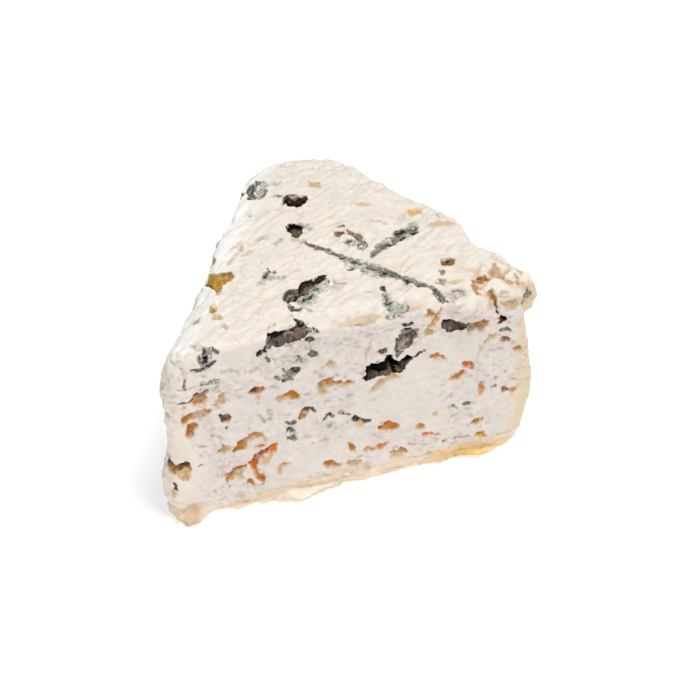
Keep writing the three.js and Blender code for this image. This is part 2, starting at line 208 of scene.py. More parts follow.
KNIFE_STROKES = (
    (wheel_axis, Vector((0, -1, 0))),
    (wheel_axis, left_out),
    (wheel_axis - nose_out * NOSE_BLUNT * MM, nose_out),
)
for place, outward in KNIFE_STROKES:
    bpy.ops.mesh.select_all(action="SELECT")
    bpy.ops.mesh.bisect(plane_co=place, plane_no=outward, use_fill=True, clear_outer=True)
bpy.ops.object.mode_set(mode="OBJECT")
finish_with(cheese, "REMESH", mode="VOXEL", voxel_size=SOFT_CURD * MM)

# How the block has settled: the rind swells and dips, the tip has lost its point, the nose and the left cut
# stand out towards the base, and the top has a smeared lip over the broad cut.
SWELL = {"height": 8.2, "at": 0.82, "width": 0.27}
DENT = {"depth": 4.0, "at": 0.24, "width": 0.1}
TIP_CHIP = {"drop": 12.0, "angle": 0.07}
CORNER_ROUND = {"drop": 2.4, "angle": 0.035}
RIND_BULGE = 2.2
CUT_CORNER_HEIGHTS = (0, 4, 9, 16, 24, 33, 42)
CUT_CORNER_BULGE = (1.0, 1.8, 3.0, 3.6, 2.8, 1.2, 0)
NOSE_HEIGHTS = (0, 3, 10, 22, 30, 44, 52, 57)
NOSE_BELLY = (1.4, 2.0, 3.5, 2.4, 2.3, 3.5, 1.4, -0.9)
LEFT_CUT_SET = 0.4
LEFT_CUT_LEAN = 3.2
TOP_EDGE_DROP = 2.2
LIP = {"from": 42.0, "to": 66.0, "out": 1.6, "trough": 1.7, "behind": 4.0}


def settle(points):
    x, y, z = points.T.copy()
    reach = np.hypot(x, y)
    angle = np.arctan2(y, x)
    share = np.clip(angle / WEDGE_ANGLE, 0, 1)
    up = z / HEIGHT
    at_rind = ease(reach, 60, 98)
    grow = SWELL["height"] * hump(share, SWELL["at"], SWELL["width"])
    grow += RIND_BULGE * (np.sin(math.pi * up) - 0.1)
    grow += np.interp(z, CUT_CORNER_HEIGHTS, CUT_CORNER_BULGE) * hump(share, 0, 0.25)
    grow -= TIP_CHIP["drop"] * np.exp(-(1 - share) * WEDGE_ANGLE / TIP_CHIP["angle"])
    grow -= CORNER_ROUND["drop"] * np.exp(-share * WEDGE_ANGLE / CORNER_ROUND["angle"])
    grow -= DENT["depth"] * hump(share, DENT["at"], DENT["width"]) * up**3
    reach = reach + grow * at_rind
    x = reach * np.cos(angle)
    y = reach * np.sin(angle)
    left_in = x * math.sin(WEDGE_ANGLE) - y * math.cos(WEDGE_ANGLE)
    lean = (LEFT_CUT_SET + LEFT_CUT_LEAN * (1 - up)) * ease(left_in, 25, 0)
    belly = np.interp(z, NOSE_HEIGHTS, NOSE_BELLY) * ease(reach, 20, 3)
    x = x - lean * math.sin(WEDGE_ANGLE) - belly
    y = y + lean * math.cos(WEDGE_ANGLE) - belly * 0.3
    left_along = x * math.cos(WEDGE_ANGLE) + y * math.sin(WEDGE_ANGLE)
    z -= TOP_EDGE_DROP * ease(left_in, 5, 0) * hump(left_along, 22, 40) * ease(z, HEIGHT - 8, HEIGHT)
    along = hump(x, (LIP["from"] + LIP["to"]) / 2, (LIP["to"] - LIP["from"]) / 2)
    y -= LIP["out"] * along * hump(z, HEIGHT - 1.5, 5) * (y < 3)
    z -= LIP["trough"] * along * hump(y, LIP["behind"], 4) * (z > HEIGHT - 1)
    return np.stack([x, y, z], 1)


curd = settle(curd_points(cheese))
put_curd(cheese, curd)
finish_with(cheese, "SMOOTH", factor=0.5, iterations=8)
curd = curd_points(cheese)
outward = curd_normals(cheese)
swell = 0.7 * hills(curd, 17) + 0.3 * hills(curd, 7, 5)
curd += outward * (swell * ease(curd[:, 2], 0.5, 3))[:, None]
put_curd(cheese, curd)

# The corner between the broad cut, the rind and the top is breaking into lumps: each has its middle seen from
# above, its length, width and half height, its turn in degrees, and how far its middle is under the top.
CORNER_LUMPS = (
    ((82.2, 2.2), (10, 8.5, 4.2), 20, 3.6),
    ((94.6, 3.4), (10, 9, 6.2), 60, 5.0),
    ((98.6, 5.6), (8.6, 12.6, 6.9), 76, 6.4),
    ((91, 10.6), (11, 7, 3.4), 40, 3.2),
    ((83.6, 0.4), (12, 4.4, 4.4), 3, 5.6),
    ((95.6, 1.6), (9, 5.4, 4.2), 5, 8.2),
)
bpy.ops.object.select_all(action="DESELECT")
for middle, (length, width, half_height), turn, under in CORNER_LUMPS:
    bpy.ops.mesh.primitive_ico_sphere_add(
        subdivisions=5,
        radius=MM,
        location=wheel_axis + Vector((*middle, HEIGHT - under)) * MM,
        scale=(length / 2, width / 2, half_height),
        rotation=(0, 0, math.radians(turn)),
    )
    lump = bpy.context.object
    bpy.ops.object.transform_apply(location=True, rotation=True, scale=True)
    rough = curd_points(lump)
    push = 0.6 * hills(rough, 4.2, 1) + 0.35 * hills(rough, 1.9, 2)
    put_curd(lump, rough + curd_normals(lump) * push[:, None])
    lump.select_set(True)
    cheese.select_set(True)
    bpy.context.view_layer.objects.active = cheese
    bpy.ops.object.join()
finish_with(cheese, "REMESH", mode="VOXEL", voxel_size=FINE_CURD * MM)
finish_with(cheese, "SMOOTH", factor=0.5, iterations=4)

# Where a point lies on each face: across it, up it, how far inside it, and which way is in. Down the breaking
# corner the level cut's places slip sideways with each millimetre of drop, so its marks run on over the lumps.
SIN, COS = math.sin(WEDGE_ANGLE), math.cos(WEDGE_ANGLE)
CORNER_SLIP = {"across": 0.43, "back": 1.26, "in": 0.85}


def face_places(points):
    x, y, z = points.T
    reach = np.hypot(x, y)
    angle = np.arctan2(y, x)
    ones = np.ones_like(x)
    radial = np.stack([-np.cos(angle), -np.sin(angle), 0 * ones], 1)
    drop = np.clip(HEIGHT - z, -2, 5) * ease(x, 77, 84) * ease(y, 18, 12)
    across, back, under = (CORNER_SLIP[way] * drop for way in ("across", "back", "in"))
    return {
        "broad": (x, z, y, np.outer(ones, (0, 1, 0))),
        "top": (x - across, y - back, HEIGHT - z - under, np.outer(ones, (0, 0, -1))),
        "left": (x * COS + y * SIN, z, x * SIN - y * COS, np.outer(ones, (SIN, -COS, 0))),
        "rind": (angle * WHEEL_RADIUS, z, WHEEL_RADIUS - reach, radial),
    }


# The finishes that a mark in the curd can have, as the eye sees them in even light. The warm ones of the
# hollows, such as amber, orange, honey and tan, also hold painted light: a painted glow of light through the
# moist curd and painted shade.
def even_light(colours):
    """The same colours by name, in the strengths of red, green and blue that a material takes."""
    return {name: (np.array(colour) / 255.0) ** 2.2 for name, colour in colours.items()}


FINISHES = even_light({
    "frost": (194, 197, 184),
    "blue": (104, 110, 96),
    "green": (74, 79, 54),
    "grey": (108, 93, 85),
    "ash": (152, 140, 128),
    "lining": (96, 82, 70),
    "soot": (22, 18, 15),
    "umber": (112, 94, 84),
    "moss": (104, 86, 44),
    "bark": (162, 124, 86),
    "rust": (186, 58, 12),
    "brown": (122, 70, 30),
    "honey": (186, 134, 76),
    "amber": (206, 134, 50),
    "orange": (224, 122, 26),
    "olive": (186, 146, 58),
    "tan": (210, 178, 134),
    "yellow": (234, 176, 44),
    "paste": (234, 224, 214),
})
MOULDS = ("frost", "blue", "green", "grey", "ash", "lining", "soot")
HAZE = 0.55  # up to this cover a mould is only a haze, and leaves what is darker as it is

# Marks on the broad cut: finish, how much of it covers the curd, depth, width, and the way it runs, as
# places along the cut and above the base. A negative depth is a lump that stands out.
BROAD_MARKS = (
    # the mould by the nose
    ("blue", 0.6, 0.6, 3.6, ((10.6, 52.0), (10.4, 54.0), (11.4, 55.4))),
    ("soot", 1.0, 1.4, 1.5, ((9.7, 51.8), (10.1, 53.4), (10.4, 55.0))),
    ("soot", 0.85, 0.8, 0.9, ((10.3, 55.0), (10.4, 57.0))),
    ("soot", 0.9, 0.8, 0.9, ((9.8, 51.6), (11.6, 52.2), (13.0, 52.8))),
    ("soot", 0.8, 0.6, 0.8, ((6.2, 51.8), (7.5, 51.5), (8.8, 51.2), (9.8, 51.6))),
    ("green", 0.8, 0.5, 0.9, ((8.8, 53.4), (8.9, 55.2))),
    ("lining", 0.75, 0.5, 1.1, ((7.6, 57.0), (10.7, 56.8), (12.7, 55.6), (13.8, 55.1))),
    ("grey", 0.8, 0.3, 0.9, ((4.3, 46.2), (4.4, 49.0))),
    ("grey", 0.6, 0.2, 1.2, ((8.5, 46.7), (10.2, 47.2), (13.1, 46.8))),
    ("grey", 0.5, 0.2, 1.2, ((14.5, 49.1), (17.0, 48.7), (19.0, 47.4))),
    ("grey", 0.4, 0.1, 3.0, ((12.0, 46.0), (13.0, 43.0))),
    ("soot", 0.85, 0.8, 0.8, ((2.4, 41.7), (4.0, 41.9), (5.6, 42.3), (6.7, 43.2))),
    ("soot", 1.0, 1.2, 1.2, ((6.9, 43.7), (8.0, 43.0), (9.4, 43.0))),
    ("blue", 0.6, 0.3, 0.7, ((6.4, 18.8), (7.8, 18.6))),
    ("blue", 0.42, 0.1, 1.4, ((12.0, 13.2), (14.0, 12.8))),
    ("brown", 1.0, 1.6, 1.4, ((1.6, 20.0), (3.2, 19.9), (3.9, 18.0))),
    ("amber", 0.8, 1.4, 2.8, ((-1.0, 18.7), (0.8, 18.3))),
    ("tan", 0.7, 1.0, 1.4, ((3.6, 17.6), (3.2, 15.0))),
    ("soot", 0.75, 0.8, 0.8, ((-0.1, 13.7), (0.4, 11.4))),
    ("tan", 0.6, 0.3, 2.6, ((-1.8, 10.0), (-0.8, 9.0))),
    # torn hollows under it
    ("amber", 0.95, 1.4, 2.8, ((6.6, 41.4), (8.2, 41.6), (9.4, 42.6))),
    ("bark", 0.9, 1.8, 1.6, ((7.6, 42.4), (9.0, 42.8), (10.2, 43.6))),
    ("tan", 0.9, 1.1, 2.0, ((12.6, 38.2), (13.4, 39.8), (14.2, 41.2))),
    ("amber", 1.0, 1.4, 2.0, ((3.4, 34.6), (4.2, 35.8), (5.5, 36.7), (6.2, 36.4))),
    ("tan", 0.95, 1.1, 2.0, ((6.8, 36.5), (8.6, 37.0), (10.4, 36.6))),
    ("soot", 0.8, 1.0, 0.6, ((6.8, 37.3), (8.0, 37.8), (9.4, 38.0), (10.4, 37.6))),
    ("amber", 1.0, 2.0, 2.4, ((5.9, 33.0), (5.6, 31.9), (5.1, 30.8))),
    ("amber", 0.8, 1.2, 1.6, ((5.0, 31.0), (4.6, 29.4))),
    ("soot", 0.8, 1.2, 1.2, ((13.5, 34.4), (14.0, 32.6))),
    ("brown", 0.8, 1.4, 1.5, ((14.2, 33.4), (15.6, 33.4))),
    ("green", 0.8, 0.5, 0.8, ((14.6, 30.8), (14.8, 30.2))),
    ("amber", 0.95, 1.3, 1.8, ((22.0, 39.9), (23.3, 40.4), (25.0, 40.7))),
    ("brown", 0.7, 1.5, 0.8, ((22.4, 40.2), (23.6, 40.7))),
    ("tan", 0.6, 0.5, 1.1, ((23.6, 39.0), (23.9, 36.8))),
    ("tan", 0.7, 0.9, 1.7, ((28.4, 36.6), (30.6, 36.2))),
    ("amber", 1.0, 1.8, 1.6, ((31.0, 37.3), (33.0, 36.7), (34.6, 35.7))),
    ("amber", 1.0, 2.3, 2.5, ((41.2, 36.6), (42.6, 38.2), (45.0, 38.0))),
    ("amber", 0.9, 1.2, 1.1, ((45.0, 38.0), (47.5, 37.2), (50.0, 37.0))),
    ("tan", 0.8, 1.2, 2.2, ((41.4, 37.2), (41.6, 34.6))),
    ("tan", 0.6, 0.7, 1.5, ((41.4, 43.6), (43.6, 45.2), (45.0, 44.4))),
    ("tan", 0.6, 0.5, 1.1, ((53.2, 44.2), (54.0, 46.4), (54.8, 48.6))),
    # the haze of mould between the edge pocket and the hollows
    ("blue", 0.41, 0.2, 6.0, ((30.0, 48.4), (36.0, 47.6))),
    ("blue", 0.41, 0.2, 5.0, ((34.0, 51.4), (40.0, 52.4))),
    ("blue", 0.4, 0.2, 5.0, ((33.0, 45.0), (29.0, 43.0))),
    ("green", 0.9, 0.9, 1.5, ((37.6, 53.3), (39.2, 53.1))),
    ("soot", 0.9, 0.9, 1.1, ((24.0, 51.2), (25.1, 52.5))),
    ("grey", 0.7, 0.4, 1.0, ((26.4, 50.4), (27.0, 49.2))),
    ("green", 0.9, 0.9, 1.4, ((38.2, 48.7), (40.0, 48.5))),
    ("blue", 0.65, 0.4, 2.2, ((34.6, 48.8), (35.6, 47.4))),
    ("lining", 1.0, 1.6, 2.1, ((32.5, 44.9), (33.8, 44.4), (34.9, 44.8))),
    ("soot", 0.8, 1.0, 0.7, ((33.0, 45.0), (34.6, 45.2))),
    ("soot", 0.8, 0.8, 0.9, ((33.0, 44.0), (32.6, 42.8))),
    ("soot", 0.85, 0.7, 0.9, ((30.6, 42.2), (32.1, 42.5))),
    ("lining", 0.75, 0.5, 0.8, ((30.4, 46.0), (31.6, 44.6))),
    ("blue", 0.7, 0.5, 2.0, ((31.0, 44.0), (33.0, 42.4))),
    ("grey", 0.6, 0.4, 1.4, ((28.6, 43.6), (29.6, 42.6))),
    # the vein in the middle of the cut
    ("brown", 1.0, 1.9, 1.4, ((35.0, 27.2), (36.4, 29.2), (38.0, 30.0), (39.2, 29.0))),
    ("soot", 0.9, 1.6, 0.7, ((36.6, 29.8), (38.2, 30.5), (39.4, 29.6))),
    ("amber", 0.8, 1.5, 0.8, ((35.2, 26.6), (36.2, 27.8))),
    ("green", 1.0, 1.4, 1.8, ((31.8, 27.0), (33.6, 26.0))),
    ("green", 0.85, 1.0, 1.7, ((31.6, 23.8), (33.4, 23.2))),
    ("green", 0.8, 0.9, 1.6, ((32.0, 21.4), (33.8, 20.8))),
    ("blue", 0.47, 0.3, 3.4, ((31.8, 25.0), (33.4, 21.0))),
    ("grey", 0.85, 1.0, 1.1, ((41.6, 25.0), (43.0, 26.2), (44.6, 25.4))),
    ("grey", 0.8, 0.7, 0.9, ((46.0, 26.2), (47.6, 26.0), (49.2, 25.4))),
    ("green", 0.44, 0.3, 2.8, ((43.0, 23.6), (45.4, 21.8))),
    ("soot", 1.0, 1.5, 1.5, ((50.0, 23.8), (51.4, 23.0), (52.6, 22.6))),
    ("green", 0.95, 1.2, 1.4, ((53.0, 22.2), (54.6, 22.0))),
    ("tan", 0.6, 0.6, 1.6, ((50.8, 21.6), (53.0, 21.0))),
    ("green", 0.5, 0.5, 1.2, ((23.6, 32.2), (25.0, 29.4), (26.8, 30.6), (26.4, 33.0))),
    ("green", 1.0, 1.7, 2.4, ((57.4, 45.4), (59.0, 45.2))),
    # the open curd low on the nose's side
    ("tan", 0.9, 1.4, 2.3, ((12.4, 23.2), (14.4, 23.8))),
    ("amber", 0.95, 1.9, 2.5, ((17.0, 21.8), (18.6, 23.0), (20.0, 24.0))),
    ("amber", 0.7, 1.1, 1.6, ((20.0, 24.4), (22.4, 25.9), (24.6, 24.8))),
    ("tan", 0.7, 0.8, 1.3, ((24.6, 24.8), (25.2, 22.6))),
    ("amber", 0.9, 1.1, 0.9, ((22.6, 21.6), (24.6, 21.0))),
    ("tan", 0.75, -0.8, 3.2, ((24.6, 16.6), (25.6, 15.4))),
    ("amber", 0.8, 1.2, 1.6, ((22.4, 11.0), (24.0, 9.0))),
    ("orange", 1.0, 2.0, 2.4, ((27.9, 20.2), (26.7, 19.1), (25.4, 18.6))),
    ("amber", 0.9, 1.6, 1.5, ((21.8, 14.6), (22.0, 12.4), (22.8, 10.2), (24.2, 8.0))),
    ("orange", 1.0, 2.2, 1.6, ((26.2, 18.8), (24.4, 18.5), (22.8, 17.6), (21.9, 16.0), (21.8, 13.8),
        (22.5, 11.4))),
    ("rust", 1.0, 2.6, 1.0, ((26.0, 18.9), (24.4, 18.8), (22.9, 18.0), (22.0, 16.8), (21.7, 15.0))),
    ("amber", 0.95, 1.7, 1.5, ((14.2, 10.6), (15.8, 11.8), (17.2, 14.0), (19.6, 14.5))),
    ("tan", 0.8, 1.0, 2.0, ((16.6, 12.4), (18.6, 11.0))),
    ("amber", 0.9, 1.3, 1.6, ((19.8, 9.8), (21.4, 7.4))),
    ("tan", 0.7, 0.8, 1.2, ((28.8, 10.0), (29.4, 12.6), (31.0, 13.5))),
    ("amber", 0.9, 1.0, 0.9, ((30.2, 13.4), (31.2, 13.6))),
    # hollows along the foot
    ("amber", 1.0, 1.7, 1.8, ((41.8, 10.0), (43.2, 9.4), (44.6, 8.6))),
    ("amber", 0.9, 1.0, 1.0, ((44.6, 8.6), (46.8, 8.0))),
    ("tan", 0.8, 0.9, 1.7, ((49.4, 7.9), (52.2, 7.4))),
    ("amber", 0.95, 1.4, 1.3, ((48.9, 15.4), (49.7, 13.4), (50.8, 12.0))),
    ("orange", 0.95, 1.4, 0.9, ((56.4, 11.4), (58.4, 11.7), (60.6, 12.5))),
    ("amber", 0.6, 0.5, 0.8, ((53.6, 11.8), (56.4, 11.4))),
    ("amber", 0.95, 1.3, 1.5, ((61.4, 8.4), (64.4, 8.0), (66.0, 7.6))),
    ("tan", 0.8, 0.8, 1.3, ((61.4, 7.2), (65.0, 6.8))),
    ("amber", 0.95, 1.5, 2.3, ((58.2, 18.4), (60.4, 18.0), (63.0, 17.6))),
    ("amber", 0.85, 1.1, 1.3, ((69.0, 16.0), (71.0, 15.6))),
    ("tan", 0.8, 0.8, 1.2, ((74.0, 19.0), (75.0, 18.6))),
    ("orange", 0.95, 1.3, 1.1, ((70.6, 12.6), (73.4, 12.1))),
    ("amber", 0.8, 0.6, 0.6, ((74.4, 11.6), (76.4, 11.3))),
    ("olive", 0.9, 1.1, 1.2, ((85.6, 13.0), (88.4, 12.9))),
    ("amber", 0.8, 0.8, 1.0, ((76.8, 8.4), (77.6, 8.0))),
    ("olive", 0.5, 0.5, 0.9, ((80.4, 8.2), (86.0, 8.0))),
    ("yellow", 1.0, 1.3, 1.5, ((87.0, 8.0), (88.6, 7.4), (90.2, 7.0))),
    # the open curd on the rind's side
    ("amber", 0.95, 1.2, 1.2, ((72.6, 39.2), (74.6, 38.8), (76.4, 38.0))),
    ("orange", 1.0, 1.7, 1.8, ((82.4, 34.3), (83.6, 33.6), (85.0, 32.6))),
    ("amber", 1.0, 1.5, 1.4, ((79.0, 30.0), (81.0, 30.4), (83.2, 31.0))),
    ("amber", 0.8, 1.0, 1.0, ((84.4, 33.0), (85.2, 31.4))),
    ("amber", 0.7, 0.9, 1.8, ((88.0, 22.6), (88.0, 25.4))),
    ("brown", 0.8, 1.0, 1.0, ((91.0, 24.0), (92.0, 24.8))),
    ("brown", 0.85, 1.2, 1.3, ((94.0, 22.8), (96.0, 22.0))),
    ("amber", 0.7, 0.7, 1.2, ((96.6, 21.6), (98.4, 21.6))),
    ("blue", 0.8, 0.8, 1.0, ((82.8, 19.8), (84.2, 20.1), (85.4, 19.6))),
    ("blue", 0.6, 0.4, 1.0, ((80.0, 19.6), (81.2, 19.2))),
    ("blue", 0.75, 0.7, 1.3, ((92.4, 44.0), (94.2, 43.8), (95.2, 43.0))),
    ("brown", 0.95, 1.4, 1.0, ((92.6, 41.0), (94.0, 40.2), (95.4, 39.6))),
    ("tan", 0.8, 0.9, 1.1, ((87.4, 40.6), (89.4, 42.6), (92.0, 42.6))),
    ("tan", 0.6, 0.5, 0.9, ((86.8, 40.4), (86.8, 37.6))),
    ("amber", 0.9, 1.1, 1.2, ((97.4, 36.0), (99.2, 35.2))),
    ("tan", 0.6, 0.6, 1.1, ((96.0, 38.8), (97.0, 38.2))),
    ("grey", 0.6, 0.3, 0.6, ((70.2, 41.6), (71.0, 41.2))),
    # the crumbling edge over the pockets
    ("amber", 0.85, 1.5, 1.5, ((71.4, 49.6), (73.0, 50.4), (74.6, 51.4))),
    ("amber", 0.8, 1.2, 1.6, ((70.8, 53.6), (73.0, 53.0))),
    ("tan", 0.8, 1.2, 1.6, ((70.4, 47.8), (72.6, 47.4))),
    ("amber", 0.7, 1.1, 1.1, ((73.4, 52.0), (75.0, 54.4))),
    ("soot", 0.9, 0.9, 0.6, ((63.8, 52.4), (65.4, 51.6), (67.0, 51.8))),
    ("grey", 0.6, 0.3, 0.9, ((58.6, 56.2), (60.5, 55.4), (62.2, 55.2), (64.0, 54.8))),
    ("green", 0.7, 0.5, 0.9, ((63.8, 56.3), (65.5, 56.6), (65.9, 57.6))),
    ("blue", 0.5, 0.2, 2.6, ((60.5, 56.5), (65.0, 57.0))),
    ("lining", 0.85, 0.5, 1.3, ((62.2, 45.0), (64.2, 45.9), (66.2, 46.2), (67.4, 47.0))),
    ("green", 0.85, 0.5, 1.5, ((62.6, 45.0), (63.0, 43.0))),
    ("brown", 0.9, 0.9, 1.0, ((67.9, 49.6), (68.6, 48.2), (68.2, 47.2))),
    ("umber", 0.9, 1.5, 2.8, ((82.6, 48.2), (84.0, 48.0), (85.6, 47.8))),
    ("honey", 0.95, 1.4, 3.0, ((85.4, 47.2), (88.0, 46.9))),
    ("brown", 0.9, 1.2, 0.6, ((83.0, 47.9), (84.6, 48.0), (86.0, 48.7))),
    ("orange", 0.8, 0.4, 0.5, ((61.2, 38.9), (62.5, 38.1), (63.4, 37.2))),
    ("soot", 1.0, 0.6, 1.2, ((26.0, 52.2), (26.4, 54.0), (27.4, 55.2))),
    ("soot", 0.9, 0.6, 1.2, ((36.8, 57.4), (38.2, 56.4))),
    ("soot", 0.8, 0.4, 0.8, ((39.4, 56.0), (40.6, 55.2))),
    ("honey", 0.95, 2.0, 1.2, ((88.6, 58.4), (89.9, 54.8), (90.6, 52.6))),
    ("brown", 0.95, 1.8, 0.9, ((90.3, 53.4), (90.8, 51.4), (91.2, 49.0))),
    ("honey", 0.5, 0.6, 1.8, ((92.3, 52.6), (94.4, 52.6), (97.0, 51.8))),
    ("grey", 0.7, 0.4, 2.4, ((98.8, 50.6), (100.4, 51.6), (101.4, 53.6))),
    ("soot", 0.6, 0.5, 0.8, ((101.0, 54.0), (101.6, 52.0))),
    # scrapes under the black pocket
    ("tan", 0.75, 0.9, 1.2, ((58.2, 34.6), (60.6, 35.4), (63.4, 34.9))),
    ("olive", 0.5, 0.5, 0.7, ((60.6, 35.6), (63.0, 35.2))),
    ("tan", 0.7, 0.9, 1.6, ((55.4, 31.6), (57.2, 33.4), (58.6, 35.0))),
    ("soot", 0.9, 0.9, 0.8, ((68.0, 40.2), (69.6, 41.0))),
)

# Pockets in the broad cut: finish, depth, how far the rim's shadow falls across and down, and the rim.
BROAD_POCKETS = (
    ("lining", 7.0, (-0.6, 3.0), (
        (52.5, 37.3), (53.6, 38.0), (53.6, 40.0), (53.3, 41.4), (54.4, 42.2), (55.6, 41.5), (57.0, 40.5),
        (58.7, 41.1), (59.3, 41.9), (59.5, 43.6), (61.0, 42.5), (61.6, 41.0), (63.0, 38.8), (62.6, 36.4),
        (60.5, 35.9), (56.8, 36.8), (53.9, 35.9))),
    ("lining", 5.0, (-2.0, 0.3), (
        (61.4, 36.2), (61.4, 38.6), (61.8, 40.4), (63.3, 39.8), (65.6, 41.1), (68.2, 40.2), (67.1, 39.3),
        (65.6, 38.3), (64.0, 36.3))),
    ("grey", 4.2, (-0.3, 0.2), (
        (25.8, 53.0), (26.5, 54.6), (27.8, 56.3), (29.6, 56.7), (30.8, 57.2), (31.9, 58.6), (34.0, 60.4),
        (36.8, 60.0), (38.0, 57.6), (39.2, 55.6), (37.6, 54.9), (36.0, 54.2), (33.9, 53.8), (32.1, 53.6),
        (30.1, 53.2), (28.6, 53.4), (27.2, 52.6))),
    ("ash", 3.6, (0.5, 0.6), (
        (61.5, 44.7), (61.8, 46.3), (62.3, 47.5), (63.1, 48.3), (63.7, 49.8), (64.5, 50.6), (65.9, 50.3),
        (67.4, 49.6), (68.2, 49.1), (68.6, 47.7), (67.7, 46.9), (67.2, 45.3), (66.4, 44.2), (64.4, 42.7),
        (62.7, 41.4), (61.8, 43.0))),
    ("grey", 3.2, (0.3, 0.2), (
        (75.6, 47.6), (76.0, 50.3), (77.4, 49.8), (79.1, 49.7), (80.3, 49.2), (81.7, 49.0), (83.4, 47.6),
        (83.0, 46.2), (81.3, 46.0), (79.8, 46.4), (78.4, 45.8), (76.6, 46.0))),
    ("tan", 2.4, (-0.8, 0.9), (
        (-2.4, 18.9), (-0.9, 20.4), (0.7, 19.9), (2.3, 20.6), (3.4, 20.5), (4.1, 18.2), (3.7, 16.2),
        (3.3, 14.5), (2.2, 14.6), (1.4, 16.0), (-0.1, 16.8), (-1.4, 16.9))),
    ("brown", 3.0, (0.3, 0.9), (
        (91.3, 46.1), (91.1, 48.9), (91.9, 49.6), (92.9, 48.4), (94.1, 46.7), (92.4, 46.9))),
)

